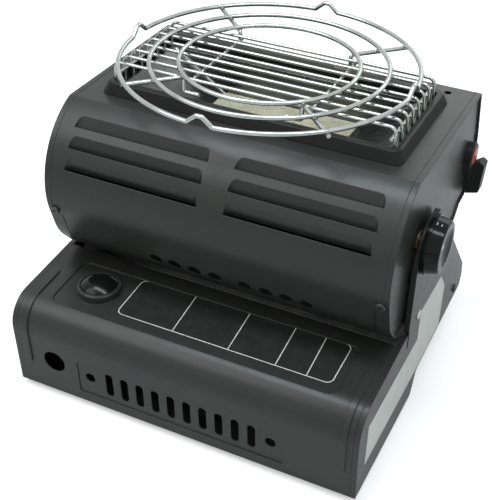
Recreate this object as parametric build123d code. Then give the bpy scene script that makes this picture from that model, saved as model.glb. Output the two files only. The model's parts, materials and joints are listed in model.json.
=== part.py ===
from build123d import *
from math import cos, degrees, hypot, radians, sin, sqrt
import os

# Modelling frame, in mm: X to the right as seen from the front, Y to the back, Z up.
# X = 0 is the middle of the base, Y = 0 the foot of the front sheet, Z = 0 the base's lower edge.
# Every piece is moved by one common shift at the end, so that the origin is the bottom centre.

# ---- base, driving dimensions ----
BASE_WIDTH = 285.0
BASE_SHEET = 1.0
SIDE_FLANGE = 4.2
SEAM = 0.1
FRONT_TOP_Y = -5.7
FRONT_TOP_Z = 76.8
FRONT_BEND_R = 22.8
DECK_REAR_Y = 78.0
DECK_REAR_Z = 84.0
DECK_LIP = 12.0
EAR_FRONT = 19.8
EAR_TOP = 14.8
EAR_FRONT_R = 34.0
EAR_REAR = 25.2
EAR_REAR_R = 6.0
SLOPE_FOOT_Y = 246.5
SLOPE_FOOT_Z = 50.4
REAR_END_Y = 249.4
REAR_END_Z = 37.4
REAR_EDGE_Y = 246.5
REAR_EDGE_Z = 27.0
STEP_TOP_Y = 131.0
STEP_TOP_Z = 18.8
STEP_FOOT_Y = 122.0
NOTCH_WIDTH = 3.0
NOTCH_FOOT_Z = 72.0

# ---- front sheet details ----
SLOT_COUNT = 10
SLOT_PITCH = 13.28
SLOT_MIDDLE_X = 0.85
SLOT_WIDTH = 6.5
SLOT_HEIGHT = 22.5
SLOT_MIDDLE_Z = 26.0
PANEL_HALF = 86.5
PANEL_FOOT_Z = 9.0
PANEL_TOP_Z = 41.0
PRESS_DEPTH = 0.8
BIG_HOLE_INSET = 34.9
BIG_HOLE_Z = 31.6
BIG_HOLE_R = 9.5
SMALL_HOLE_X = 75.8
SMALL_HOLE_Z = 27.0
SMALL_HOLE_R = 4.2
BEAD_INSET = 11.5
BEAD_WIDTH = 5.0
BEAD_HEIGHT = 1.2
BEAD_FOOT_Z = 23.0
BEAD_BACK_Y = 45.0

# ---- deck details ----
RECESS_LEFT_INSET = 25.0
RECESS_RIGHT_INSET = 25.5
RECESS_FRONT_Y = 12.0
RECESS_REAR_Y = 63.0
RECESS_R = 8.0
DOME_INSET = 53.0
DOME_Y = 39.0
DOME_R = 14.0
DOME_GAP = 0.4
COLLAR_R = 17.0
COLLAR_HEIGHT = 5.5
DOME_RISE = 5.0
DOME_TRAVEL = 2.8
STEM_R = 4.0
LATCH_Y = 65.0
LATCH_HALF_Y = 3.5
LATCH_HOOK_INSET = 4.9
LATCH_TAB_INSET = 8.5
LATCH_LEG_INSET = 11.1
LATCH_TAB_DROP = 12.0
LATCH_BAR_DROP = 6.0
LATCH_GAP = 0.3
LATCH_SHEET = 1.2

# ---- cartridge bay ----
CARTRIDGE_R = 33.0
CARTRIDGE_Y = 40.0
CARTRIDGE_Z = 38.0
CRADLE_GAP = 0.6
CRADLE_SHEET = 1.2
CRADLE_X = (-90.0, 10.0)
CRADLE_WIDTH = 16.0
REGULATOR_INSET = 76.5
REGULATOR_LENGTH = 42.0
SOCKET_R = 15.5
SOCKET_BORE_R = 12.0
SOCKET_DEPTH = 9.0
SOCKET_FACE = 3.0
NOZZLE_R = 3.5
DISC_R = 19.0
DISC_THICK = 8.0
WAIST_R = 12.0
WAIST_LENGTH = 3.0
CAN_R = 16.0
CAN_LENGTH = 15.5
OUTLET_R = 5.0
PIPE_SEAT = 5.5
BRACKET_SHEET = 1.5
BRACKET_HALF_Y = 26.0
BRACKET_RISE = 25.0
BRACKET_FOOT = 18.0
DOOR_HALF_Y = 35.0
DOOR_FOOT_Z = 4.5
DOOR_TOP_Z = 73.5
DOOR_GAP = 0.5
DOOR_SHEET = 1.0
HINGE_R = 1.5
HINGE_GAP = 0.1
KNUCKLE_WALL = 1.0

# ---- floor and rear of the base ----
FLOOR_REAR_Y = 118.5
RAIL_SHELF = 12.0
FLOOR_WALL = 6.0
WALL_TOP_Z = 75.0
SHIELD_Z = 73.0
TAB_RISE = 25.0
RAIL_Y = 232.0
RAIL_SHEET = 1.2
RAIL_TOP_Z = 42.0
RAIL_FOOT_Z = 32.0
LEG_HALF = 11.0
LEG_FLARE = 8.0
FOOT_SHELF = 20.0
FOOT_R = 7.0
FOOT_HEIGHT = 5.0
FOOT_NECK_R = 3.0
FOOT_BUTTON_R = 4.2
FOOT_BUTTON = 2.0
FRONT_FOOT_INSET = 13.5
FRONT_FOOT_Y = 14.0
REAR_FOOT_INSET = 32.5

# ---- drum ----
EAR_GAP = 4.3
KEEL_GAP = 6.0
DRUM_R = 64.6
DRUM_CROWN = 4.3
DRUM_SHEET = 0.8
SHELL_LIP_DROP = 55.2
SHELL_REAR_DROP = 10.5
CHIN_INSET = 11.7
CHIN_R = 50.0
# corners of the drum's section, as (Y, Z) from the pivot
PIVOT_Y = 110.8
DRUM_BEND_DROP = 21.2
DRUM_CHIN = (-53.3, -44.7)
DRUM_KEEL = (-36.3, -63.2)
DRUM_BELLY = 19.2
DRUM_HEEL = (98.7, -37.7)
DRUM_STEP = (108.2, -29.2)
DRUM_TAIL = (123.2, -27.7)
DRUM_BACK = (140.2, 13.8)
DRUM_TOP_BACK = 127.7
CAP_DEPTH = 1.6
CAP_FLANGE = 11.0
DRUM_FIT = 0.05
END_HOLES = ((113.7, -13.2), (132.7, 20.2))
END_HOLE_R = 2.2
LOUVRE_INNER_X = 10.4
LOUVRE_INSET = 16.9
LOUVRE_ANGLES = (132.9, 147.6, 162.5)
LOUVRE_SPAN = 8.8
LOUVRE_DEPTH = 4.4
LOUVRE_END_R = 4.5
LOUVRE_LAP = 0.6
VENT_R = 5.2
VENT_DROP = 43.2
VENT_XS = (-49.3, -33.6, -16.8, 0.6, 24.6, 41.7, 58.1, 73.9)
TOP_HOLE_X = 113.7
TOP_HOLE = 115.2
TOP_HOLE_R = 2.75
BACK_SLOT_COUNT = 9
BACK_SLOT_PITCH = 24.0
BACK_SLOT_HALF = 9.0
BACK_SLOT_RISES = (-3.2, 8.8, 28.8)
BACK_SLOT_WIDTH = 4.0

# ---- burner frame, reflector and burner ----
FRAME_INSET = 18.2
FRAME_FRONT = 10.3
FRAME_DEPTH = 112.5
FRAME_HEIGHT = 9.5
FRAME_TAPER = 3.3
FRAME_CORNER_R = 7.0
FRAME_SHEET = 0.8
FRAME_SIDE = 7.3
FRAME_FRONT_SIDE = 7.9
FRAME_REAR_SIDE = 9.8
FRAME_LIP = 5.5
TROUGH_RIM = 4.5
TROUGH_SIDE = 3.5
TROUGH_FRONT = 2.2
TROUGH_REAR = 3.2
TROUGH_SHEET = 0.6
TROUGH_DROP = 2.0
PLATE_X = 115.0
PLATE_Y = 64.0
PLATE_BACK = 0.25
PLATE_DROP = 23.5
PLATE_THICK = 12.0
PLATE_FIT = 0.15
ELECTRODE_X = 42.0
ELECTRODE_BACK = 10.1
ELECTRODE_RISE = 9.0
ELECTRODE_SIDE = 10.0
ELECTRODE_OVER = 24.0
ELECTRODE_TAIL = 24.0
ELECTRODE_SLEEVE_R = 2.6
SLEEVE_RISE = 5.0
SLEEVE_DROP = 20.0
ELECTRODE_R = 0.8
BOX_WALL = 1.0
BOX_RIM = 3.0
BOX_RISE = 12.8
TUBE_R = 8.0
TUBE_WALL = 1.0
TUBE_BEND_R = 14.0
TUBE_MOUTH_INSET = 25.2
MOUTH_LIP = 2.5
MOUTH_LENGTH = 8.0
AIR_HOLE_R = 2.6
JET_R = 4.2
JET_LENGTH = 5.0
JET_TIP_R = 1.6
JET_TIP = 4.0
JET_BORE_R = 0.4
TRUNNION_INSET = 15.2

# ---- guard ----
GUARD_R = 1.3
GUARD_COUNT = 8
GUARD_FRONT = 1.9
GUARD_REAR = 7.5
GUARD_SIDE = 1.7
GUARD_RISE = 23.5
GUARD_FOOT = 1.1
GUARD_BEND_R = 5.0
GUARD_END = 14.5
CROSS_X = 47.5
WELD = 0.25

# ---- pot ring ----
RING_X = -3.6
RING_BACK = 41.7
RING_SEAT = 0.1
RING_R = (66.9, 88.4, 110.8)
RING_WIRE_R = 1.7
SPOKE_R = 1.6
SPOKE_OVER = 1.5
SPOKE_INSET = 1.3
SPOKE_BEND_R = 1.9
SPOKE_DROP = 10.0
SPOKE_TOE = 12.0
BUMP_HEIGHT = 6.2
BUMP_HALF = 9.5
BUMP_TOP_HALF = 2.0

# ---- pivots, valve and knob ----
BUSH_R = 8.0
BUSH_FLANGE_R = 10.0
TRUNNION_R = 5.0
TRUNNION_BORE_R = 1.5
RUNNING_GAP = 0.06
VALVE_HALF = 6.4
NECK_R = 6.0
NUT_R = 9.0
NUT_THICK = 3.0
SPINDLE_R = 2.5
KNOB_R = 22.5
KNOB_GRIP_R = 17.5
KNOB_SKIRT = 4.0
KNOB_DEPTH = 13.3
KNOB_GAP = 0.4
KNOB_WALL = 2.0
RIB_COUNT = 24
PIN_HEAD_R = 7.0
PIN_HEAD = 2.2

# ---- gas pipe ----
PIPE_R = 1.6
PIPE_RISE = 11.8
PIPE_TURN = 25.2
PIPE_GAP = 0.2
PIPE_FIT = 0.05
PIPE_END = 3.0
PIPE_BEND_R = 8.0

# ---- igniter ----
BUTTON_PLACE = (116.7, 11.8)
BUTTON_R = 7.5
BUTTON_LENGTH = 5.0
BUTTON_STAND = 2.0
BUTTON_GAP = 0.3
BUTTON_TRAVEL = 4.0
HOUSING_R = 10.2
HOUSING_TOE = (122.0, -14.2)
HOUSING_TOE_R = 3.8
HOUSING_DEPTH = 3.4
HOUSING_WALL = 1.8
# side view of the nose below the button, as (X from the drum's end, Z from the pivot)
NOSE = ((0.8, -0.5), (9.0, 5.3), (12.8, 2.8), (11.2, -21.8), (0.8, -24.7))
NOSE_FRONT = 119.0
NOSE_WIDTH = 11.0
PIEZO_R = 7.0
PIEZO_COLLAR = 2.5
PIEZO_FLANGE = 4.0
PIEZO_LENGTH = 34.0

# ---- screws ----
SCREW_R = 2.0
SCREW_HEAD_R = 3.6
SCREW_HEAD = 1.8
SCREW_LENGTH = 5.0
SIDE_SCREW_BACK = 8.5
SIDE_SCREW_RISE = 17.0
DRUM_SCREW_INSET = 6.2
DRUM_SCREW_ANGLE = 196.0

# ---- derived ----
HALF = BASE_WIDTH / 2
INNER = HALF - BASE_SHEET
FLANGE_X = HALF - SIDE_FLANGE
SHELL_HALF = FLANGE_X - SEAM
PLAY = 0.1
DECK_SLOPE = (DECK_REAR_Z - FRONT_TOP_Z) / (DECK_REAR_Y - FRONT_TOP_Y)
BEAD_X = HALF - BEAD_INSET
BIG_HOLE_X = BIG_HOLE_INSET - HALF
RECESS_LEFT_X = RECESS_LEFT_INSET - HALF
RECESS_RIGHT_X = HALF - RECESS_RIGHT_INSET
DOME_X = DOME_INSET - HALF
LATCH_HOOK_X = LATCH_HOOK_INSET - HALF
LATCH_TAB_X = LATCH_TAB_INSET - HALF
LATCH_LEG_X = LATCH_LEG_INSET - HALF
DOME_DECK_Z = FRONT_TOP_Z + DECK_SLOPE * (DOME_Y - FRONT_TOP_Y)
LATCH_TAB_Z = DOME_DECK_Z - LATCH_TAB_DROP
LATCH_BAR_Z = DOME_DECK_Z - LATCH_BAR_DROP
REGULATOR_X = HALF - REGULATOR_INSET
FRONT_FOOT_X = HALF - FRONT_FOOT_INSET
REAR_FOOT_X = HALF - REAR_FOOT_INSET
HINGE_X = -HALF - HINGE_R - KNUCKLE_WALL - PLAY
HINGE_Z = DOOR_FOOT_Z - 0.4
PIVOT_Z = DECK_REAR_Z + KEEL_GAP - DRUM_KEEL[1]
EAR_FRONT_Y = PIVOT_Y - EAR_FRONT
EAR_REAR_Y = PIVOT_Y + EAR_REAR
EAR_TOP_Z = PIVOT_Z + EAR_TOP
DRUM_HALF = INNER - EAR_GAP
DRUM_TOP_Z = PIVOT_Z + DRUM_R - DRUM_CROWN
DRUM_BEND_Z = PIVOT_Z - DRUM_BEND_DROP
DRUM_KEEL_Y = PIVOT_Y + DRUM_KEEL[0]
DRUM_CHIN_Y = PIVOT_Y + DRUM_CHIN[0]
SHELL_LIP_Z = PIVOT_Z - SHELL_LIP_DROP
SHELL_REAR_Z = DRUM_TOP_Z - SHELL_REAR_DROP
CHIN_HALF = DRUM_HALF - CHIN_INSET
LOUVRE_OUTER_X = DRUM_HALF - LOUVRE_INSET
CAP_X = DRUM_HALF - CAP_DEPTH
TOP_HOLE_Y = PIVOT_Y + TOP_HOLE
FRAME_HALF_X = DRUM_HALF - FRAME_INSET
FRAME_FRONT_Y = PIVOT_Y - FRAME_FRONT
FRAME_REAR_Y = FRAME_FRONT_Y + FRAME_DEPTH
FRAME_INNER_X = FRAME_HALF_X - FRAME_SIDE
FRAME_INNER_FRONT_Y = FRAME_FRONT_Y + FRAME_FRONT_SIDE
FRAME_INNER_REAR_Y = FRAME_REAR_Y - FRAME_REAR_SIDE
FRAME_TOP_Z = DRUM_TOP_Z + FRAME_HEIGHT
FRAME_LIP_Z = FRAME_TOP_Z - FRAME_LIP
GUARD_HALF_X = FRAME_INNER_X - GUARD_SIDE
GUARD_FRONT_Y = FRAME_INNER_FRONT_Y + GUARD_FRONT
GUARD_REAR_Y = FRAME_INNER_REAR_Y - GUARD_REAR
GUARD_Z = DRUM_TOP_Z + GUARD_RISE
GUARD_FOOT_Z = DRUM_TOP_Z + GUARD_FOOT
GUARD_END_Z = DRUM_TOP_Z + GUARD_END
GUARD_PITCH = (GUARD_REAR_Y - GUARD_FRONT_Y) / (GUARD_COUNT - 1)
TROUGH_HALF_X = GUARD_HALF_X - TROUGH_SIDE
TROUGH_FRONT_Y = GUARD_FRONT_Y + TROUGH_FRONT
TROUGH_REAR_Y = GUARD_REAR_Y - TROUGH_REAR
PLATE_MIDDLE_Y = (FRAME_FRONT_Y + FRAME_REAR_Y) / 2 + PLATE_BACK
PLATE_TOP_Z = DRUM_TOP_Z - PLATE_DROP
ELECTRODE_Y = FRAME_INNER_FRONT_Y + ELECTRODE_BACK
ELECTRODE_Z = PLATE_TOP_Z + ELECTRODE_RISE
BOX_FOOT_Z = PIVOT_Z + BOX_RISE
TUBE_MOUTH_X = DRUM_HALF - TUBE_MOUTH_INSET
TRUNNION_END_X = DRUM_HALF - TRUNNION_INSET
RING_Y = PIVOT_Y + RING_BACK
RING_Z = GUARD_Z + GUARD_R + RING_SEAT + 2 * SPOKE_R + RING_WIRE_R - WELD
SPOKE_FOOT = (RING_R[0] - SPOKE_INSET) / sqrt(2)
SPOKE_FOOT_Z = GUARD_Z + GUARD_R - SPOKE_DROP
PIPE_X = INNER - PIPE_R - PIPE_GAP
PIPE_RISE_Y = PIVOT_Y - PIPE_RISE
PIPE_TURN_Z = PIVOT_Z - PIPE_TURN
BUTTON_Y = PIVOT_Y + BUTTON_PLACE[0]
BUTTON_Z = PIVOT_Z + BUTTON_PLACE[1]
HOUSING_TOE_Y = PIVOT_Y + HOUSING_TOE[0]
HOUSING_TOE_Z = PIVOT_Z + HOUSING_TOE[1]
HOUSING_FACE_X = DRUM_HALF + HOUSING_DEPTH
BUTTON_FACE_X = HOUSING_FACE_X + BUTTON_STAND
SIDE_SCREW_Y = FLOOR_REAR_Y - SIDE_SCREW_BACK
SIDE_SCREW_Z = SHIELD_Z + SIDE_SCREW_RISE
TAB_TOP_Z = SHIELD_Z + TAB_RISE
DRUM_SCREW_X = DRUM_HALF - DRUM_SCREW_INSET
RAIL_SCREW_Y = RAIL_Y - RAIL_SHEET - 5.0
RAIL_SCREW_Z = (RAIL_TOP_Z + RAIL_FOOT_Z) / 2
LONG = 400.0


# ---- helpers ----
def block(x0, x1, y0, y1, z0, z1):
    """A box between two corners."""
    return Pos((x0 + x1) / 2, (y0 + y1) / 2, (z0 + z1) / 2) * Box(x1 - x0, y1 - y0, z1 - z0)


def rod_x(radius, x0, x1, y, z):
    return Pos((x0 + x1) / 2, y, z) * Rot(0, 90, 0) * Cylinder(radius, x1 - x0)


def rod_y(radius, y0, y1, x, z):
    return Pos(x, (y0 + y1) / 2, z) * Rot(90, 0, 0) * Cylinder(radius, y1 - y0)


def rod_z(radius, z0, z1, x, y):
    return Pos(x, y, (z0 + z1) / 2) * Cylinder(radius, z1 - z0)


def side_face(points, radii):
    """A face in the YZ plane from a closed outline with rounded corners."""
    return make_face(Plane.YZ * FilletPolyline(*points, radius=radii, close=True))


def draw_out(face, x0, x1):
    """A YZ face drawn out along X between two places."""
    return Pos(x0, 0, 0) * extrude(face, amount=x1 - x0, dir=(1, 0, 0))


def bent_sheet(points, radii, thick, half_width):
    """A bent sheet: its outer line, thickened inwards, drawn out along X."""
    line = Plane.YZ * FilletPolyline(*points, radius=radii)
    face = make_face(line.wire().offset_2d(thick, side=Side.RIGHT))
    return draw_out(face, -half_width, half_width)


def bent_wire(points, bend, radius):
    """A round wire along a line of straight stretches and bends."""
    path = FilletPolyline(*points, radius=bend)
    return sweep(Plane(path @ 0, z_dir=path % 0) * Circle(radius), path=path)


def upright_slot(width, height, x, z, y0, y1):
    """A cutter for an upright slot with round ends through a front or back sheet."""
    shape = Rot(0, 0, 90) * SlotOverall(height, width)
    return Pos(x, y0, z) * extrude(Plane.XZ * shape, amount=y1 - y0, dir=(0, 1, 0))


def rounded_prism(x0, x1, y0, y1, z0, z1, radius):
    shape = Pos((x0 + x1) / 2, (y0 + y1) / 2) * RectangleRounded(x1 - x0, y1 - y0, radius)
    return Pos(0, 0, z0) * extrude(shape, amount=z1 - z0)


def mirrored(shape):
    return mirror(shape, about=Plane.YZ)


def deck_z(y):
    """Height of the deck's outer face."""
    return FRONT_TOP_Z + DECK_SLOPE * (y - FRONT_TOP_Y)


def drum_point(radius, angle):
    """A point round the pivot, as (Y, Z); the angle is in degrees from +Y towards +Z."""
    return (PIVOT_Y + radius * cos(radians(angle)), PIVOT_Z + radius * sin(radians(angle)))


def from_pivot(place):
    """A (Y, Z) place given from the pivot."""
    return (PIVOT_Y + place[0], PIVOT_Z + place[1])


# ---- base ----
def base_line():
    return ((0, 0), (FRONT_TOP_Y, FRONT_TOP_Z), (DECK_REAR_Y, DECK_REAR_Z), (DECK_REAR_Y, DECK_REAR_Z - DECK_LIP))


def side_outline():
    points = (
        (0, 0),
        (FRONT_TOP_Y, FRONT_TOP_Z),
        (DECK_REAR_Y, DECK_REAR_Z),
        (EAR_FRONT_Y, DECK_REAR_Z),
        (EAR_FRONT_Y, EAR_TOP_Z),
        (EAR_REAR_Y, EAR_TOP_Z),
        (SLOPE_FOOT_Y, SLOPE_FOOT_Z),
        (REAR_END_Y, REAR_END_Z),
        (REAR_EDGE_Y, REAR_EDGE_Z),
        (STEP_TOP_Y, STEP_TOP_Z),
        (STEP_FOOT_Y, 0),
    )
    radii = (0, FRONT_BEND_R, 2.0, 1.5, EAR_FRONT_R, EAR_REAR_R, 5.0, 3.0, 4.0, 6.0, 4.0)
    return side_face(points, radii)


def bead_window(shrink):
    """The rounded run of a bead: up the front, over the bend and back along the deck."""
    width = BEAD_WIDTH - 2 * shrink
    front_length = 2 * (FRONT_TOP_Z - BEAD_FOOT_Z - shrink)
    deck_length = 2 * (BEAD_BACK_Y - FRONT_TOP_Y - shrink)
    front = upright_slot(width, front_length, 0, FRONT_TOP_Z, -LONG / 4, LONG / 4)
    shape = Rot(0, 0, 90) * SlotOverall(deck_length, width)
    deck = Pos(0, FRONT_TOP_Y, FRONT_TOP_Z / 2) * extrude(shape, amount=LONG / 2)
    upper = block(-LONG, LONG, -LONG, LONG, FRONT_TOP_Z - FRONT_BEND_R, LONG)
    return (front - upper) + (front & deck & upper)


def bead():
    """One stiffening bead over the front bend, pressed outwards, and its hollow, at X = 0."""
    line = Plane.YZ * FilletPolyline(*base_line()[:3], radius=(FRONT_BEND_R,))
    band = make_face(line.wire().offset_2d(BEAD_HEIGHT, side=Side.LEFT))
    groove = make_face(line.wire().offset_2d(BASE_SHEET, side=Side.RIGHT))
    raised = draw_out(band, -BEAD_WIDTH / 2, BEAD_WIDTH / 2) & bead_window(0)
    hollow = draw_out(groove, -BEAD_WIDTH / 2, BEAD_WIDTH / 2) & bead_window(BASE_SHEET)
    return raised, hollow


def base_shell():
    shell = bent_sheet(base_line(), (FRONT_BEND_R, 2.0), BASE_SHEET, SHELL_HALF)
    raised, hollow = bead()
    for x in (-BEAD_X, BEAD_X):
        shell += Pos(x, 0, 0) * raised
    # the pressed panel round the slots
    lean = FRONT_TOP_Y / FRONT_TOP_Z
    panel_z = (PANEL_FOOT_Z + PANEL_TOP_Z) / 2
    front_plane = Plane(origin=(0, lean * panel_z, panel_z), x_dir=(1, 0, 0), z_dir=(0, -1, lean))
    panel = RectangleRounded(2 * PANEL_HALF, PANEL_TOP_Z - PANEL_FOOT_Z, 3.0)
    pad = offset(panel, amount=BASE_SHEET)
    shell += front_plane * Pos(0, 0, -BASE_SHEET - PRESS_DEPTH) * extrude(pad, amount=PRESS_DEPTH + 0.2)
    shell -= front_plane * Pos(0, 0, -PRESS_DEPTH) * extrude(panel, amount=5.0)
    # the pressed recess of the deck
    deck_plane = Plane(origin=(0, 0, deck_z(0)), x_dir=(1, 0, 0), z_dir=(0, -DECK_SLOPE, 1))
    recess_x = (RECESS_LEFT_X + RECESS_RIGHT_X) / 2
    recess_y = (RECESS_FRONT_Y + RECESS_REAR_Y) / 2
    recess = RectangleRounded(RECESS_RIGHT_X - RECESS_LEFT_X, RECESS_REAR_Y - RECESS_FRONT_Y, RECESS_R)
    at_recess = deck_plane * Pos(recess_x, recess_y, 0)
    pad = offset(recess, amount=BASE_SHEET)
    shell += at_recess * Pos(0, 0, -BASE_SHEET - PRESS_DEPTH) * extrude(pad, amount=PRESS_DEPTH + 0.2)
    shell -= at_recess * Pos(0, 0, -PRESS_DEPTH) * extrude(recess, amount=5.0)
    # the collar and the hole for the button's stem
    top = deck_z(DOME_Y) - PRESS_DEPTH + COLLAR_HEIGHT
    foot = deck_z(DOME_Y) - PRESS_DEPTH - BASE_SHEET - 1.0
    ring = rod_z(COLLAR_R, foot, top, DOME_X, DOME_Y)
    ring = chamfer(ring.edges().group_by(Axis.Z)[-1], 1.2)
    ring -= rod_z(DOME_R + DOME_GAP, foot - 1, top + 1, DOME_X, DOME_Y)
    under = at_recess * Pos(0, 0, -BASE_SHEET - PRESS_DEPTH - 20) * extrude(offset(recess, amount=30.0), amount=20)
    shell += ring - under
    shell -= rod_z(STEM_R + RUNNING_GAP, foot - 5, top + 5, DOME_X, DOME_Y)
    for x in (-BEAD_X, BEAD_X):
        shell -= Pos(x, 0, 0) * hollow
    for index in range(SLOT_COUNT):
        x = SLOT_MIDDLE_X + (index - (SLOT_COUNT - 1) / 2) * SLOT_PITCH
        shell -= upright_slot(SLOT_WIDTH, SLOT_HEIGHT, x, SLOT_MIDDLE_Z, -10, 10)
    shell -= rod_y(BIG_HOLE_R, -10, 10, BIG_HOLE_X, BIG_HOLE_Z)
    for x in (-SMALL_HOLE_X, SMALL_HOLE_X):
        shell -= rod_y(SMALL_HOLE_R, -10, 10, x, SMALL_HOLE_Z)
    return shell


def side_plate():
    """The right side plate: a flat sheet with an inward flange all round."""
    outline = side_outline()
    plate = draw_out(outline, FLANGE_X, HALF)
    plate -= draw_out(offset(outline, amount=-BASE_SHEET), FLANGE_X - 1, INNER)
    notch_y = EAR_FRONT_Y
    plate -= block(FLANGE_X - 1, HALF + 1, notch_y - NOTCH_WIDTH / 2, notch_y + NOTCH_WIDTH / 2,
                   NOTCH_FOOT_Z, DECK_REAR_Z + 2)
    plate -= rod_x(NOTCH_WIDTH / 2, FLANGE_X - 1, HALF + 1, notch_y, NOTCH_FOOT_Z)
    plate -= rod_x(SCREW_R + PLAY, INNER - 1, HALF + 1, SIDE_SCREW_Y, SIDE_SCREW_Z)
    plate -= rod_x(SCREW_R + PLAY, INNER - 1, HALF + 1, RAIL_SCREW_Y, RAIL_SCREW_Z)
    return plate


def side_plate_right():
    return side_plate() - rod_x(NECK_R + RUNNING_GAP, INNER - 1, HALF + 1, PIVOT_Y, PIVOT_Z)


def door_outline(gap):
    """The cartridge door's outline in the YZ plane, shrunk by a gap."""
    half = DOOR_HALF_Y - gap
    foot = DOOR_FOOT_Z + gap
    top = DOOR_TOP_Z - gap
    points = ((CARTRIDGE_Y - half, foot), (CARTRIDGE_Y - half, top), (CARTRIDGE_Y + half, top), (CARTRIDGE_Y + half, foot))
    return side_face(points, (1.0, 7.0, 7.0, 1.0))


def side_plate_left():
    plate = mirrored(side_plate())
    plate -= rod_x(TRUNNION_R + PLAY, -HALF - 1, -INNER + 1, PIVOT_Y, PIVOT_Z)
    plate -= draw_out(door_outline(0), -HALF - 1, -INNER + 0.5)
    # the two outer hinge knuckles under the opening
    for y in (CARTRIDGE_Y - 18, CARTRIDGE_Y + 18):
        plate += knuckle(y - 5, y + 5, False)
    return plate


def knuckle(y0, y1, on_door):
    """A rolled hinge knuckle round the hinge pin, with the tab that joins it to its sheet."""
    outer = HINGE_R + KNUCKLE_WALL
    shape = rod_y(outer, y0, y1, HINGE_X, HINGE_Z)
    if on_door:
        shape += block(HINGE_X, -HALF + DOOR_SHEET, y0, y1, HINGE_Z + 1.2, HINGE_Z + 2.2)
    else:
        shape += block(HINGE_X, -HALF + 0.5, y0, y1, HINGE_Z - 2.2, HINGE_Z - 1.2)
    return shape - rod_y(HINGE_R + HINGE_GAP, y0 - 1, y1 + 1, HINGE_X, HINGE_Z)


def cartridge_door():
    door = draw_out(door_outline(DOOR_GAP), -HALF, -HALF + DOOR_SHEET)
    inner = draw_out(offset(door_outline(DOOR_GAP), amount=-BASE_SHEET), -HALF + DOOR_SHEET, -HALF + 4)
    door += draw_out(door_outline(DOOR_GAP), -HALF + DOOR_SHEET, -HALF + 4) - inner
    door -= block(-HALF + DOOR_SHEET, -HALF + 5, -LONG, LONG, -10, DOOR_FOOT_Z + 6)
    door += knuckle(CARTRIDGE_Y - 12.8, CARTRIDGE_Y + 12.8, True)
    # the catch tab inside the top, with the hole for the latch hook
    y0 = LATCH_Y - LATCH_HALF_Y - 2
    y1 = LATCH_Y + LATCH_HALF_Y + 2
    door += block(-HALF + 0.5, LATCH_TAB_X, y0, y1, LATCH_TAB_Z, LATCH_TAB_Z + 1.0)
    door -= block(LATCH_HOOK_X - 1.2, LATCH_HOOK_X + 2.2, y0 + 1.2, y1 - 1.2, LATCH_TAB_Z - 1, LATCH_TAB_Z + 2)
    return door


def latch_bar():
    """The strip under the deck that carries the door's hook; it moves with the button."""
    under = LATCH_TAB_Z - LATCH_SHEET - DOME_TRAVEL / 2
    points = (
        (LATCH_LEG_X + LATCH_SHEET, LATCH_BAR_Z + LATCH_SHEET),
        (LATCH_LEG_X, LATCH_BAR_Z + LATCH_SHEET),
        (LATCH_LEG_X, under),
        (LATCH_HOOK_X, under),
        (LATCH_HOOK_X, LATCH_TAB_Z - LATCH_GAP),
    )
    line = Plane.XZ * FilletPolyline(*points, radius=0)
    face = make_face(line.wire().offset_2d(LATCH_SHEET, side=Side.LEFT))
    hook = Pos(0, LATCH_Y + LATCH_HALF_Y, 0) * extrude(face, amount=2 * LATCH_HALF_Y, dir=(0, -1, 0))
    plan = Polyline(
        (LATCH_LEG_X, LATCH_Y - LATCH_HALF_Y), (LATCH_LEG_X, LATCH_Y + LATCH_HALF_Y),
        (DOME_X + STEM_R + 3, DOME_Y + STEM_R + 2), (DOME_X + STEM_R + 3, DOME_Y - STEM_R - 2),
        (DOME_X - STEM_R - 2, DOME_Y - STEM_R - 2), close=True,
    )
    strip = Pos(0, 0, LATCH_BAR_Z) * extrude(make_face(plan), amount=LATCH_SHEET)
    return hook + strip - rod_z(STEM_R - 1.5, LATCH_BAR_Z - 9, LATCH_BAR_Z + 9, DOME_X, DOME_Y)


def dome_foot():
    """Height of the domed button's lower rim at rest."""
    return deck_z(DOME_Y) + DOME_TRAVEL + 0.8


def lock_button():
    """The domed button: a hollow cap on a stem that ends under the latch strip."""
    foot = dome_foot()
    cap_top = foot + DOME_RISE
    sphere_r = (DOME_R ** 2 + DOME_RISE ** 2) / (2 * DOME_RISE)
    cap = rod_z(DOME_R, foot, foot + LONG / 8, DOME_X, DOME_Y)
    cap &= Pos(DOME_X, DOME_Y, cap_top + 1.0 - sphere_r) * Sphere(sphere_r)
    cap -= rod_z(DOME_R - 2.5, foot - 1, foot + 2.5, DOME_X, DOME_Y)
    stem = rod_z(STEM_R, LATCH_BAR_Z + LATCH_SHEET, foot + 3.0, DOME_X, DOME_Y)
    stem += rod_z(STEM_R - 1.6, LATCH_BAR_Z, LATCH_BAR_Z + 2, DOME_X, DOME_Y)
    return cap + stem


def lock_spring():
    """The spring round the stem, between the deck and the inside of the cap."""
    foot = deck_z(DOME_Y) - PRESS_DEPTH + 1.0
    height = dome_foot() + 2.5 - 0.5 - foot
    coil = Helix(pitch=height / 3, height=height, radius=STEM_R + 2.2)
    path = Pos(DOME_X, DOME_Y, foot) * coil
    return sweep(Plane(path @ 0, z_dir=path % 0) * Circle(0.4), path=path, is_frenet=True)


def door_hinge_pin():
    return rod_y(HINGE_R, CARTRIDGE_Y - 24, CARTRIDGE_Y + 24, HINGE_X, HINGE_Z)


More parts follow.
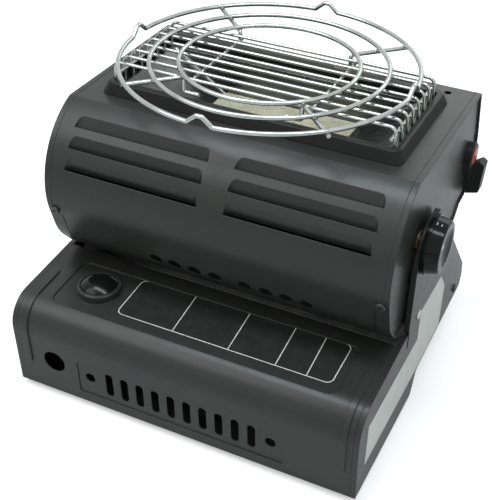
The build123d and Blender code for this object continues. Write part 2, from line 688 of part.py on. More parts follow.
def floor_pan():
    """The floor: a shallow tray on the side plates' lower flanges."""
    front = BASE_SHEET + PLAY
    foot = BASE_SHEET
    tray = block(-INNER, INNER, front, FLOOR_REAR_Y, foot, foot + FLOOR_WALL)
    tray -= block(-INNER + 1, INNER - 1, front + 1, FLOOR_REAR_Y - 1, foot + 1, foot + FLOOR_WALL + 1)
    tray -= block(-INNER - 1, -INNER + 2, CARTRIDGE_Y - DOOR_HALF_Y - 1, CARTRIDGE_Y + DOOR_HALF_Y + 1,
                  foot + 1, foot + FLOOR_WALL + 1)
    for x in (-70, -35, 0, 35, 70):
        tray -= rounded_prism(x - 9, x + 9, 84, 92, -1, 5, 3.9)
    return tray


def bulkhead():
    """The wall behind the cartridge, flanged to the sides and the floor."""
    y = FLOOR_REAR_Y - 1
    foot = BASE_SHEET + 1
    wall = block(-INNER, INNER, y - 1, y, foot, WALL_TOP_Z)
    flange_foot = BASE_SHEET + FLOOR_WALL
    for side in (-1, 1):
        x0, x1 = sorted((side * (INNER - 1), side * INNER))
        wall += block(x0, x1, y - 9, y, flange_foot, WALL_TOP_Z - 2)
        wall -= block(x0 - PLAY, x1 + PLAY, y - 10, y + 1, 0, flange_foot)
    for index in range(7):
        wall -= upright_slot(8.0, 30.0, (index - 3) * 30.0, 42.0, y - 3, y + 2)
    return wall


def heat_shield():
    """The plate between the cartridge and the drum, with ears screwed to the side plates."""
    rear = FLOOR_REAR_Y - 2 - PLAY
    front = DECK_REAR_Y + PLAY / 2
    sheet = block(-SHELL_HALF, SHELL_HALF, front, rear, SHIELD_Z, SHIELD_Z + 1)
    sheet += block(-SHELL_HALF, SHELL_HALF, front, front + 1, SHIELD_Z, SHIELD_Z + 8)
    sheet += block(-SHELL_HALF, SHELL_HALF, rear - 1, rear, SHIELD_Z - 6, SHIELD_Z + 1)
    for side in (-1, 1):
        ear = block(INNER - 1, INNER, PIPE_RISE_Y + 5, rear - 0.2, SHIELD_Z, TAB_TOP_Z)
        ear += block(SHELL_HALF - 1, INNER, PIPE_RISE_Y + 5, rear - 0.2, SHIELD_Z, SHIELD_Z + 1)
        ear -= rod_x(SCREW_R + PLAY, INNER - 2, INNER + 1, SIDE_SCREW_Y, SIDE_SCREW_Z)
        sheet += ear if side > 0 else mirrored(ear)
    clear = PIPE_R + 1
    sheet -= block(INNER - 6, INNER + 1, PIPE_RISE_Y - clear, PIPE_RISE_Y + clear, SHIELD_Z - 1, SHIELD_Z + 2)
    return sheet


def rear_rail():
    """The cross rail that carries the rear feet."""
    y = RAIL_Y
    half = INNER
    outer = REAR_FOOT_X + LEG_HALF
    inner = REAR_FOOT_X - LEG_HALF
    points = (
        (-half, RAIL_FOOT_Z), (-half, RAIL_TOP_Z), (half, RAIL_TOP_Z), (half, RAIL_FOOT_Z),
        (outer + LEG_FLARE, RAIL_FOOT_Z), (outer, 0), (inner, 0), (inner - LEG_FLARE, RAIL_FOOT_Z),
        (-inner + LEG_FLARE, RAIL_FOOT_Z), (-inner, 0), (-outer, 0), (-outer - LEG_FLARE, RAIL_FOOT_Z),
    )
    face = make_face(Plane.XZ * Polyline(*points, close=True))
    rail = Pos(0, y, 0) * extrude(face, amount=RAIL_SHEET, dir=(0, -1, 0))
    rail += block(-half, half, y - RAIL_SHELF, y, RAIL_TOP_Z - RAIL_SHEET, RAIL_TOP_Z)
    for side in (-1, 1):
        x0, x1 = sorted((side * inner, side * outer))
        rail += block(x0, x1, y - FOOT_SHELF, y, 0, RAIL_SHEET)
        rail -= rod_z(FOOT_NECK_R + PLAY, -1, 3, side * REAR_FOOT_X, y - FOOT_SHELF / 2)
        e0, e1 = sorted((side * (half - RAIL_SHEET), side * half))
        rail += block(e0, e1, y - RAIL_SHELF, y, RAIL_FOOT_Z, RAIL_TOP_Z)
        rail -= rod_x(SCREW_R + PLAY, e0 - 1, e1 + 1, RAIL_SCREW_Y, RAIL_SCREW_Z)
    return rail


def rubber_foot(x, y, seat, sheet):
    """A foot pushed through a hole: a pad below the sheet and a button above it."""
    foot = rod_z(FOOT_R, -FOOT_HEIGHT, seat, x, y)
    foot = chamfer(foot.edges().group_by(Axis.Z)[0], 1.0)
    foot += rod_z(FOOT_NECK_R, seat, seat + sheet, x, y)
    return foot + rod_z(FOOT_BUTTON_R, seat + sheet, seat + sheet + FOOT_BUTTON, x, y)


def cartridge_cradle():
    """Two curved rests on a base strip; the cartridge lies in them."""
    inner = CARTRIDGE_R + CRADLE_GAP
    outer = inner + CRADLE_SHEET
    floor = BASE_SHEET + 1
    strip = block(min(CRADLE_X) - CRADLE_WIDTH / 2, max(CRADLE_X) + CRADLE_WIDTH / 2,
                  CARTRIDGE_Y - 10, CARTRIDGE_Y + 10, floor, CARTRIDGE_Z - inner)
    for x in CRADLE_X:
        x0 = x - CRADLE_WIDTH / 2
        x1 = x + CRADLE_WIDTH / 2
        ring = rod_x(outer, x0, x1, CARTRIDGE_Y, CARTRIDGE_Z)
        ring &= block(x0, x1, CARTRIDGE_Y - 25, CARTRIDGE_Y + 25, floor, CARTRIDGE_Z)
        strip += ring
        for y in (CARTRIDGE_Y - 24, CARTRIDGE_Y + 23):
            strip += block(x0, x1, y, y + CRADLE_SHEET, floor, CARTRIDGE_Z - 24)
    return strip - rod_x(inner, -HALF, HALF, CARTRIDGE_Y, CARTRIDGE_Z)


def regulator():
    """The regulator with the socket ring that the cartridge locks into."""
    x = REGULATOR_X
    disc = x + SOCKET_DEPTH
    waist = disc + DISC_THICK
    can = waist + WAIST_LENGTH / 2
    outlet = can + CAN_LENGTH
    body = rod_x(SOCKET_R, x, disc, CARTRIDGE_Y, CARTRIDGE_Z)
    body -= rod_x(SOCKET_BORE_R, x - 1, disc - SOCKET_FACE, CARTRIDGE_Y, CARTRIDGE_Z)
    body += rod_x(NOZZLE_R, x + 1, disc - 1, CARTRIDGE_Y, CARTRIDGE_Z)
    body += rod_x(DISC_R, disc, waist, CARTRIDGE_Y, CARTRIDGE_Z)
    body += rod_x(WAIST_R, waist, waist + WAIST_LENGTH, CARTRIDGE_Y, CARTRIDGE_Z)
    body += rod_x(CAN_R, can, outlet, CARTRIDGE_Y, CARTRIDGE_Z)
    body += rod_x(OUTLET_R, outlet, x + REGULATOR_LENGTH, CARTRIDGE_Y, CARTRIDGE_Z)
    return body - rod_x(PIPE_R + PIPE_FIT, x + REGULATOR_LENGTH - PIPE_SEAT - 0.5, x + REGULATOR_LENGTH + 1,
                        CARTRIDGE_Y, CARTRIDGE_Z)


def regulator_bracket():
    """The standing plate that holds the regulator."""
    x = REGULATOR_X + SOCKET_DEPTH + DISC_THICK
    floor = BASE_SHEET + 1
    plate = block(x, x + BRACKET_SHEET, CARTRIDGE_Y - BRACKET_HALF_Y, CARTRIDGE_Y + BRACKET_HALF_Y,
                  floor, CARTRIDGE_Z + BRACKET_RISE)
    plate += block(x, x + BRACKET_FOOT, CARTRIDGE_Y - BRACKET_HALF_Y, CARTRIDGE_Y + BRACKET_HALF_Y,
                   floor, floor + BRACKET_SHEET)
    return plate - rod_x(WAIST_R + PLAY, x - 1, x + BRACKET_SHEET + 1, CARTRIDGE_Y, CARTRIDGE_Z)


def gas_pipe():
    """The pipe from the regulator along the right side plate and up the ear to the valve."""
    x = PIPE_X
    start = REGULATOR_X + REGULATOR_LENGTH - PIPE_SEAT
    points = (
        (start, CARTRIDGE_Y, CARTRIDGE_Z),
        (x, CARTRIDGE_Y, CARTRIDGE_Z),
        (x, PIPE_RISE_Y, CARTRIDGE_Z + 16),
        (x, PIPE_RISE_Y, PIPE_TURN_Z),
        (x, PIVOT_Y, PIPE_TURN_Z + 12),
        (x, PIVOT_Y, PIVOT_Z - VALVE_HALF + PIPE_END),
    )
    return bent_wire(points, (PIPE_BEND_R, PIPE_BEND_R, PIPE_BEND_R, 4.0), PIPE_R)


def valve_body():
    """The brass valve in the right ear; its hollow trunnion carries the drum."""
    inner = DRUM_HALF + 0.5
    body = block(inner, INNER, PIVOT_Y - VALVE_HALF, PIVOT_Y + VALVE_HALF, PIVOT_Z - VALVE_HALF, PIVOT_Z + VALVE_HALF)
    body = fillet(body.edges().filter_by(Axis.X), 4.0)
    body += rod_x(TRUNNION_R, TRUNNION_END_X, inner + 1, PIVOT_Y, PIVOT_Z)
    body += rod_x(NECK_R, INNER - 0.5, HALF + NUT_THICK + 1.5, PIVOT_Y, PIVOT_Z)
    body -= rod_x(TRUNNION_BORE_R, TRUNNION_END_X - 1, INNER - 1, PIVOT_Y, PIVOT_Z)
    body -= rod_x(SPINDLE_R + RUNNING_GAP, INNER - 0.1, HALF + LONG / 8, PIVOT_Y, PIVOT_Z)
    foot = PIVOT_Z - VALVE_HALF
    return body - rod_z(PIPE_R + PIPE_FIT, foot - 1, foot + PIPE_END + PLAY, PIPE_X, PIVOT_Y)


def valve_nut():
    nut = extrude(Plane.YZ * RegularPolygon(NUT_R, 6), amount=NUT_THICK, dir=(1, 0, 0))
    nut = Pos(HALF, PIVOT_Y, PIVOT_Z) * nut
    return nut - rod_x(NECK_R + 0.02, HALF - 1, HALF + NUT_THICK + 1, PIVOT_Y, PIVOT_Z)


def valve_spindle():
    """The spindle, with a flat, that the knob turns."""
    rod = rod_x(SPINDLE_R, INNER - 0.1, HALF + KNOB_DEPTH - 2.5, PIVOT_Y, PIVOT_Z)
    flat = block(HALF + 6, HALF + KNOB_DEPTH, PIVOT_Y - 3, PIVOT_Y + 3, PIVOT_Z + SPINDLE_R - 0.7, PIVOT_Z + 4)
    return rod - flat


def knob():
    """The control knob: a skirt, a ribbed grip and a hub on the spindle."""
    back = HALF + KNOB_GAP
    front = HALF + KNOB_DEPTH
    skirt = rod_x(KNOB_R, back, back + KNOB_SKIRT, PIVOT_Y, PIVOT_Z)
    grip = Rot(0, 90, 0) * Cone(KNOB_R - 1.2, KNOB_GRIP_R + 2, front - back - KNOB_SKIRT)
    grip = Pos((back + KNOB_SKIRT + front) / 2, PIVOT_Y, PIVOT_Z) * grip
    body = skirt + grip
    body = fillet(body.edges().group_by(Axis.X)[-1], 1.5)
    dish = Pos(front + 37, PIVOT_Y, PIVOT_Z) * Sphere(40.0)
    body -= dish & rod_x(KNOB_GRIP_R - 1, front - 3, front + 1, PIVOT_Y, PIVOT_Z)
    body -= rod_x(KNOB_R - KNOB_WALL, back - 1, back + KNOB_SKIRT, PIVOT_Y, PIVOT_Z)
    body -= rod_x(KNOB_GRIP_R - KNOB_WALL, back - 1, front - 5, PIVOT_Y, PIVOT_Z)
    hub = rod_x(5.0, HALF + NUT_THICK + 2.0, front - 3, PIVOT_Y, PIVOT_Z)
    body += hub
    for index in range(RIB_COUNT):
        angle = radians(index * 360 / RIB_COUNT)
        y = PIVOT_Y + (KNOB_R - 0.2) * cos(angle)
        z = PIVOT_Z + (KNOB_R - 0.2) * sin(angle)
        body -= rod_x(0.9, back + KNOB_SKIRT, front + 1, y, z)
    bore = rod_x(SPINDLE_R + 0.02, back - 1, HALF + KNOB_DEPTH - 2.4, PIVOT_Y, PIVOT_Z)
    flat = block(HALF + 6, HALF + KNOB_DEPTH, PIVOT_Y - 3, PIVOT_Y + 3, PIVOT_Z + SPINDLE_R - 0.65, PIVOT_Z + 4)
    return body - (bore - flat)


def left_pivot_pin():
    """The shoulder pin in the left ear."""
    pin = rod_x(PIN_HEAD_R, -HALF - PIN_HEAD, -HALF, PIVOT_Y, PIVOT_Z)
    pin = fillet(pin.edges().group_by(Axis.X)[0], 0.8)
    return pin + rod_x(TRUNNION_R, -HALF, -CAP_X + 12, PIVOT_Y, PIVOT_Z)


def pivot_bush():
    """The right flanged bush in the drum end."""
    bush = rod_x(BUSH_R, CAP_X - 9, CAP_X + 1.0, PIVOT_Y, PIVOT_Z)
    bush += rod_x(BUSH_FLANGE_R, CAP_X - DRUM_SHEET - 2, CAP_X - DRUM_SHEET, PIVOT_Y, PIVOT_Z)
    return bush - rod_x(TRUNNION_R + RUNNING_GAP, CAP_X - 12, CAP_X + 5, PIVOT_Y, PIVOT_Z)


# ---- drum ----
def drum_outline():
    """The drum's section, as the outer face of its sheets."""
    arc_foot = (PIVOT_Y - sqrt(DRUM_R ** 2 - (PIVOT_Z - DRUM_BEND_Z) ** 2), DRUM_BEND_Z)
    arc_top = (PIVOT_Y - sqrt(DRUM_R ** 2 - (DRUM_TOP_Z - PIVOT_Z) ** 2), DRUM_TOP_Z)
    front = ThreePointArc(arc_foot, drum_point(DRUM_R, 160), arc_top)
    rest = FilletPolyline(
        arc_top,
        (PIVOT_Y + DRUM_TOP_BACK, DRUM_TOP_Z),
        from_pivot(DRUM_BACK),
        from_pivot(DRUM_TAIL),
        from_pivot(DRUM_STEP),
        from_pivot(DRUM_HEEL),
        from_pivot((DRUM_BELLY, DRUM_KEEL[1])),
        from_pivot(DRUM_KEEL),
        from_pivot(DRUM_CHIN),
        arc_foot,
        radius=(3.0, 14.0, 5.0, 5.0, 5.0, 30.0, 3.0, CHIN_R),
    )
    return make_face(Plane.YZ * (front + rest))


def drum_sheets():
    """The hollow drum before it is parted, and the region of its upper sheet."""
    outline = drum_outline()
    hollow = draw_out(outline - offset(outline, amount=-DRUM_SHEET), -DRUM_HALF, DRUM_HALF)
    upper = block(-LONG, LONG, -LONG, PIVOT_Y, SHELL_LIP_Z, LONG)
    upper += block(-LONG, LONG, PIVOT_Y - 1, LONG, SHELL_REAR_Z, LONG)
    return hollow, upper


def chin_ends():
    """The two ends of the chin, where the end plates show."""
    right = block(CHIN_HALF, LONG, -LONG, DRUM_KEEL_Y + 1.5, 0, DRUM_BEND_Z - 1)
    return right + mirrored(right)


def louvre_pocket(x0, x1, foot_angle, metal):
    """The wedge of one louvre, open at its foot; with a sheet's thickness of metal it is the pressing's outside."""
    top = foot_angle - LOUVRE_SPAN - (LOUVRE_LAP if metal else 0)
    above = DRUM_R + 2 * LOUVRE_END_R
    points = (
        drum_point(above, top),
        drum_point(DRUM_R - metal, top),
        drum_point(DRUM_R - LOUVRE_DEPTH - metal, foot_angle),
        drum_point(above, foot_angle),
    )
    wedge = draw_out(make_face(Plane.YZ * Polyline(*points, close=True)), x0 - metal, x1 + metal)
    corners = wedge.edges().filter_by(Axis.X, reverse=True)
    corners = corners.sort_by(lambda edge: hypot(edge.center().Y - PIVOT_Y, edge.center().Z - PIVOT_Z))
    return fillet(corners[:2], LOUVRE_END_R + metal)


def louvre(x0, x1, foot_angle):
    """The opening of one louvre and its pressed pocket."""
    opening = louvre_pocket(x0, x1, foot_angle, 0)
    pocket = louvre_pocket(x0, x1, foot_angle, DRUM_SHEET) - opening
    return opening, pocket & rod_x(DRUM_R, x0 - 2, x1 + 2, PIVOT_Y, PIVOT_Z)


def drum_shell():
    hollow, upper = drum_sheets()
    shell = (hollow & upper) - chin_ends()
    for angle in LOUVRE_ANGLES:
        for x0, x1 in ((-LOUVRE_OUTER_X, -LOUVRE_INNER_X), (LOUVRE_INNER_X, LOUVRE_OUTER_X)):
            opening, pocket = louvre(x0, x1, angle)
            shell -= opening
            shell += pocket
    for x in VENT_XS:
        shell -= rod_y(VENT_R, DRUM_CHIN_Y - 10, DRUM_CHIN_Y + 6, x, PIVOT_Z - VENT_DROP)
    shell -= rounded_prism(-FRAME_INNER_X - 0.8, FRAME_INNER_X + 0.8, FRAME_INNER_FRONT_Y - 0.8,
                           FRAME_INNER_REAR_Y + 0.8, DRUM_TOP_Z - 5, DRUM_TOP_Z + 5, 3.0)
    for x in (-TOP_HOLE_X, TOP_HOLE_X):
        shell -= rod_z(TOP_HOLE_R, DRUM_TOP_Z - 3, DRUM_TOP_Z + 3, x, TOP_HOLE_Y)
    for x in (-DRUM_SCREW_X, DRUM_SCREW_X):
        shell -= drum_screw_place(x) * Cylinder(SCREW_R + PLAY, 10)
    return shell


def drum_back():
    hollow, upper = drum_sheets()
    upper += block(-LONG, LONG, -LONG, PIVOT_Y, SHELL_LIP_Z - SEAM, SHELL_LIP_Z + 1)
    upper += block(-LONG, LONG, PIVOT_Y, LONG, SHELL_REAR_Z - SEAM, SHELL_REAR_Z + 1)
    back = (hollow - upper) - chin_ends()
    tail_y = from_pivot(DRUM_TAIL)[0]
    for rise in BACK_SLOT_RISES:
        for index in range(BACK_SLOT_COUNT):
            x = (index - (BACK_SLOT_COUNT - 1) / 2) * BACK_SLOT_PITCH
            shape = SlotOverall(2 * BACK_SLOT_HALF, BACK_SLOT_WIDTH)
            back -= Pos(x, tail_y - 10, PIVOT_Z + rise) * extrude(Plane.XZ * shape, amount=40, dir=(0, 1, 0))
    return back


def drum_screw_place(x):
    """The place on the drum's front where a screw at X stands, its axis along the radius."""
    y, z = drum_point(DRUM_R, DRUM_SCREW_ANGLE)
    out = (0, y - PIVOT_Y, z - PIVOT_Z)
    return Plane(origin=(x, y, z), x_dir=(1, 0, 0), z_dir=out).location


def drum_end():
    """The right drum end: a recessed plate whose flange lies inside the sheets."""
    outline = drum_outline()
    inset = offset(outline, amount=-DRUM_SHEET - DRUM_FIT)
    plate = draw_out(inset, CAP_X - DRUM_SHEET, CAP_X)
    rim = inset - offset(inset, amount=-DRUM_SHEET)
    plate += draw_out(rim, DRUM_HALF - CAP_FLANGE, DRUM_HALF)
    strip = draw_out(outline - offset(inset, amount=-DRUM_SHEET / 2), DRUM_HALF - CAP_FLANGE, DRUM_HALF)
    strip &= block(CHIN_HALF + SEAM, LONG, -LONG, DRUM_KEEL_Y + 1.4, 0, DRUM_BEND_Z - 1.1)
    plate += strip
    plate -= rod_x(BUSH_R + 0.02, CAP_X - 5, CAP_X + 5, PIVOT_Y, PIVOT_Z)
    plate -= drum_screw_place(DRUM_SCREW_X) * Cylinder(SCREW_R - 0.2, 10)
    for place in END_HOLES:
        plate -= rod_x(END_HOLE_R, CAP_X - 5, CAP_X + 5, *from_pivot(place))
    return plate


def drum_end_right():
    return drum_end() - rod_x(PIEZO_R + PIEZO_COLLAR + PLAY, CAP_X - 5, CAP_X + 5, BUTTON_Y, BUTTON_Z)


def drum_screw(x):
    """A pan-head screw with a cross slot, seated on the drum's front."""
    screw = Pos(0, 0, -2.5) * Cylinder(SCREW_R - 0.25, 5.0 + 0.2)
    head = Pos(0, 0, SCREW_HEAD / 2 + 0.05) * Cylinder(SCREW_HEAD_R, SCREW_HEAD)
    head = fillet(head.edges().group_by(Axis.Z)[-1], 0.9)
    head -= Pos(0, 0, SCREW_HEAD) * Box(4.4, 0.8, 1.4)
    head -= Pos(0, 0, SCREW_HEAD) * Box(0.8, 4.4, 1.4)
    return drum_screw_place(x) * (screw + head)


def side_screw(y, z, length):
    """A pan-head screw on the right side plate."""
    screw = Pos(0, 0, -length / 2) * Cylinder(SCREW_R, length + 0.2)
    head = Pos(0, 0, SCREW_HEAD / 2) * Cylinder(SCREW_HEAD_R, SCREW_HEAD)
    head = fillet(head.edges().group_by(Axis.Z)[-1], 0.9)
    head -= Pos(0, 0, SCREW_HEAD) * Box(4.4, 0.8, 1.4)
    head -= Pos(0, 0, SCREW_HEAD) * Box(0.8, 4.4, 1.4)
    return Pos(HALF, y, z) * Rot(0, 90, 0) * (screw + head)


def burner_frame():
    """The raised frame round the burner: a hollow, tapered pressing with a lip inside."""
    x = FRAME_HALF_X
    middle = (FRAME_FRONT_Y + FRAME_REAR_Y) / 2
    half_y = (FRAME_REAR_Y - FRAME_FRONT_Y) / 2
    grow = FRAME_SHEET

    def hood(shrink, height):
        foot = Pos(0, middle, DRUM_TOP_Z) * RectangleRounded(2 * (x - shrink), 2 * (half_y - shrink), FRAME_CORNER_R)
        top_x = x - FRAME_TAPER - shrink
        top_y = half_y - FRAME_TAPER - shrink
        top = Pos(0, middle, DRUM_TOP_Z + height) * RectangleRounded(2 * top_x, 2 * top_y, FRAME_CORNER_R)
        return loft([foot, top])

    outer = hood(0, FRAME_HEIGHT)
    outer = fillet(outer.edges().group_by(Axis.Z)[-1], 1.8)
    inner_x = FRAME_INNER_X
    well = rounded_prism(-inner_x, inner_x, FRAME_INNER_FRONT_Y, FRAME_INNER_REAR_Y,
                         DRUM_TOP_Z - 1, FRAME_TOP_Z + 1, 2.2)
    collar = rounded_prism(-inner_x - grow, inner_x + grow, FRAME_INNER_FRONT_Y - grow, FRAME_INNER_REAR_Y + grow,
                           FRAME_LIP_Z, FRAME_TOP_Z - grow, 3.0)
    hollow = hood(grow, FRAME_HEIGHT - grow)
    return (outer - (hollow - collar)) - well


def trough_hole(x, y):
    return rod_z(GUARD_R + 0.2, FRAME_LIP_Z - 3, FRAME_LIP_Z + 1, x, y)


def guard_ys():
    return [GUARD_FRONT_Y + index * GUARD_PITCH for index in range(GUARD_COUNT)]


def reflector():
    """The reflector: a rim under the frame and four sloping walls down to the plate."""
    t = TROUGH_SHEET
    rim_x = FRAME_INNER_X + TROUGH_RIM
    rim_front = FRAME_INNER_FRONT_Y - TROUGH_RIM
    rim_rear = FRAME_INNER_REAR_Y + TROUGH_RIM
    rim = rounded_prism(-rim_x, rim_x, rim_front, rim_rear, DRUM_TOP_Z, FRAME_LIP_Z, FRAME_CORNER_R)
    rim -= rounded_prism(-rim_x + t, rim_x - t, rim_front + t, rim_rear - t, DRUM_TOP_Z - 1, FRAME_LIP_Z - t,
                         FRAME_CORNER_R - t)

    def funnel(grow):
        middle = (TROUGH_FRONT_Y + TROUGH_REAR_Y) / 2
        half_y = (TROUGH_REAR_Y - TROUGH_FRONT_Y) / 2
        top = Pos(0, middle, FRAME_LIP_Z) * RectangleRounded(2 * (TROUGH_HALF_X + grow), 2 * (half_y + grow), 6.0)
        foot = Pos(0, PLATE_MIDDLE_Y, PLATE_TOP_Z - TROUGH_DROP) * RectangleRounded(PLATE_X + 2 * grow, PLATE_Y + 2 * grow, 3.0)
        return loft([foot, top])

    pan = rim + (funnel(t) - block(-LONG, LONG, -LONG, LONG, FRAME_LIP_Z, LONG))
    pan -= funnel(0)
    for y in guard_ys():
        for x in (-GUARD_HALF_X, GUARD_HALF_X):
            pan -= trough_hole(x, y)
    pan -= rod_z(ELECTRODE_SLEEVE_R + PLAY, PLATE_TOP_Z - 10, FRAME_LIP_Z + 5, ELECTRODE_X, ELECTRODE_Y)
    return pan


def burner_box():
    """The plenum under the ceramic plate."""
    x = PLATE_X / 2 + BOX_WALL
    y = PLATE_Y / 2 + BOX_WALL
    top = PLATE_TOP_Z - TROUGH_DROP - TROUGH_SHEET / 2
    box = rounded_prism(-x, x, PLATE_MIDDLE_Y - y, PLATE_MIDDLE_Y + y, BOX_FOOT_Z, top, 3.5)
    box -= rounded_prism(-x + BOX_WALL, x - BOX_WALL, PLATE_MIDDLE_Y - y + BOX_WALL, PLATE_MIDDLE_Y + y - BOX_WALL,
                         PLATE_TOP_Z - PLATE_THICK, PLATE_TOP_Z + 1, 2.5)
    ledge = BOX_WALL + BOX_RIM
    box -= rounded_prism(-x + ledge, x - ledge, PLATE_MIDDLE_Y - y + ledge, PLATE_MIDDLE_Y + y - ledge,
                         BOX_FOOT_Z + BOX_WALL, PLATE_TOP_Z, 2.0)
    return box - rod_z(TUBE_R - TUBE_WALL, BOX_FOOT_Z - 1, BOX_FOOT_Z + 2, 0, PLATE_MIDDLE_Y)


def ceramic_plate():
    """The glowing plate, seated in the rim of the burner box."""
    gap = PLATE_FIT
    return rounded_prism(-PLATE_X / 2 + gap, PLATE_X / 2 - gap, PLATE_MIDDLE_Y - PLATE_Y / 2 + gap,
                         PLATE_MIDDLE_Y + PLATE_Y / 2 - gap, PLATE_TOP_Z - PLATE_THICK, PLATE_TOP_Z, 3.2)


def mixer_tube():
    """The mixing tube from the jet along the pivot and up into the plenum."""
    points = (
        (TUBE_MOUTH_X, PIVOT_Y, PIVOT_Z),
        (0, PIVOT_Y, PIVOT_Z),
        (0, PLATE_MIDDLE_Y, PIVOT_Z - 3),
        (0, PLATE_MIDDLE_Y, BOX_FOOT_Z),
    )
    bends = (TUBE_BEND_R, TUBE_BEND_R - 1.5)
    tube = bent_wire(points, bends, TUBE_R)
    tube += rod_x(TUBE_R + MOUTH_LIP, TUBE_MOUTH_X - 3, TUBE_MOUTH_X + MOUTH_LENGTH, PIVOT_Y, PIVOT_Z)
    tube -= bent_wire(points, bends, TUBE_R - TUBE_WALL)
    tube -= rod_x(TUBE_R - TUBE_WALL, TUBE_MOUTH_X - 1, TUBE_MOUTH_X + MOUTH_LENGTH + 1, PIVOT_Y, PIVOT_Z)
    for angle in (45, 135, 225, 315):
        y = PIVOT_Y + TUBE_R * cos(radians(angle))
        z = PIVOT_Z + TUBE_R * sin(radians(angle))
        tube -= Pos(TUBE_MOUTH_X + 3, y, z) * Sphere(AIR_HOLE_R)
    return tube


def gas_jet():
    """The jet on the end of the valve's trunnion, inside the mouth of the mixing tube."""
    x = TRUNNION_END_X
    tip = x - JET_LENGTH - JET_TIP / 2
    jet = rod_x(JET_R, x - JET_LENGTH, x, PIVOT_Y, PIVOT_Z)
    jet += Pos(tip, PIVOT_Y, PIVOT_Z) * Rot(0, -90, 0) * Cone(JET_R, JET_TIP_R, JET_TIP)
    return jet - rod_x(JET_BORE_R, tip - JET_TIP, x + 1, PIVOT_Y, PIVOT_Z)


def electrode():
    """The spark wire, bent over the front edge of the plate."""
    points = (
        (ELECTRODE_X, ELECTRODE_Y, PLATE_TOP_Z - ELECTRODE_TAIL),
        (ELECTRODE_X, ELECTRODE_Y, ELECTRODE_Z + 4),
        (ELECTRODE_X - ELECTRODE_SIDE, ELECTRODE_Y + ELECTRODE_OVER, ELECTRODE_Z + 1),
        (ELECTRODE_X - ELECTRODE_SIDE, ELECTRODE_Y + ELECTRODE_OVER + 1, PLATE_TOP_Z + 3),
    )
    return bent_wire(points, (2.5, 2.0), ELECTRODE_R)


def electrode_sleeve():
    foot = PLATE_TOP_Z - SLEEVE_DROP
    top = PLATE_TOP_Z + SLEEVE_RISE
    sleeve = rod_z(ELECTRODE_SLEEVE_R, foot, top, ELECTRODE_X, ELECTRODE_Y)
    return sleeve - rod_z(ELECTRODE_R + 0.02, foot - 1, top + 1, ELECTRODE_X, ELECTRODE_Y)


def guard_grille():
    """Eight long wires bent down at both ends, with cross wires welded under them."""
    guard = None
    for y in guard_ys():
        points = (
            (-GUARD_HALF_X, y, GUARD_FOOT_Z),
            (-GUARD_HALF_X, y, GUARD_Z),
            (GUARD_HALF_X, y, GUARD_Z),
            (GUARD_HALF_X, y, GUARD_FOOT_Z),
        )
        bar = bent_wire(points, GUARD_BEND_R, GUARD_R)
        guard = bar if guard is None else guard + bar
    under = GUARD_Z - 2 * GUARD_R + WELD
    front = GUARD_FRONT_Y - GUARD_R
    rear = GUARD_REAR_Y + GUARD_R
    for x in (-CROSS_X, CROSS_X):
        guard += rod_y(GUARD_R, front, rear, x, under)
    beside = GUARD_HALF_X - 2 * GUARD_R + WELD
    for x in (-beside, beside):
        guard += rod_y(GUARD_R, front, rear, x, GUARD_END_Z)
    return guard


# ---- pot ring ----
def outer_ring():
    """The outer ring, with four raised bumps that keep a pan from sliding."""
    radius = RING_R[-1]
    wide = degrees(BUMP_HALF / radius)
    narrow = degrees(BUMP_TOP_HALF / radius)
    ring = None
    for quarter in range(4):
        centre = 90 * quarter
        flat = CenterArc((0, 0, 0), radius, centre + wide, 90 - 2 * wide)
        start = flat @ 1
        end_angle = radians(centre + 90 + wide)
        end = (radius * cos(end_angle), radius * sin(end_angle), 0)
        tops = []
        for angle in (centre + 90 - narrow, centre + 90 + narrow):
            tops.append((radius * cos(radians(angle)), radius * sin(radians(angle)), BUMP_HEIGHT))
        arc = sweep(Plane(flat @ 0, z_dir=flat % 0) * Circle(RING_WIRE_R), path=flat)
        bump = FilletPolyline(start, tops[0], tops[1], end, radius=1.9)
        lift = sweep(Plane(bump @ 0, z_dir=bump % 0) * Circle(RING_WIRE_R), path=bump)
        piece = arc + lift
        piece += Pos(start) * Sphere(RING_WIRE_R)
        piece += Pos(end) * Sphere(RING_WIRE_R)
        ring = piece if ring is None else ring + piece
    return ring


def pot_ring():
    """Three rings on four spokes whose feet hook over the guard."""
    ring = Pos(RING_X, RING_Y, RING_Z) * outer_ring()
    for radius in RING_R[:-1]:
        ring += Pos(RING_X, RING_Y, RING_Z) * Torus(radius, RING_WIRE_R)
    z = RING_Z - RING_WIRE_R - SPOKE_R + WELD
    reach = (RING_R[-1] + SPOKE_OVER) / sqrt(2)
    for sx in (-1, 1):
        for sy in (-1, 1):
            points = (
                (RING_X + sx * reach, RING_Y + sy * reach, z),
                (RING_X + sx * SPOKE_FOOT, RING_Y + sy * SPOKE_FOOT, z),
                (RING_X + sx * SPOKE_FOOT, RING_Y + sy * SPOKE_FOOT, SPOKE_FOOT_Z),
                (RING_X + sx * (SPOKE_FOOT - SPOKE_TOE), RING_Y + sy * SPOKE_FOOT, SPOKE_FOOT_Z),
            )
            ring += bent_wire(points, SPOKE_BEND_R, SPOKE_R)
    return ring


# ---- igniter ----
def housing_face(grow):
    """The housing's outline: a round head and a smaller round toe."""
    head = Pos(BUTTON_Y, BUTTON_Z) * Circle(HOUSING_R + grow)
    toe = Pos(HOUSING_TOE_Y, HOUSING_TOE_Z) * Circle(HOUSING_TOE_R + grow)
    return Plane.YZ * make_hull(head.edges() + toe.edges())


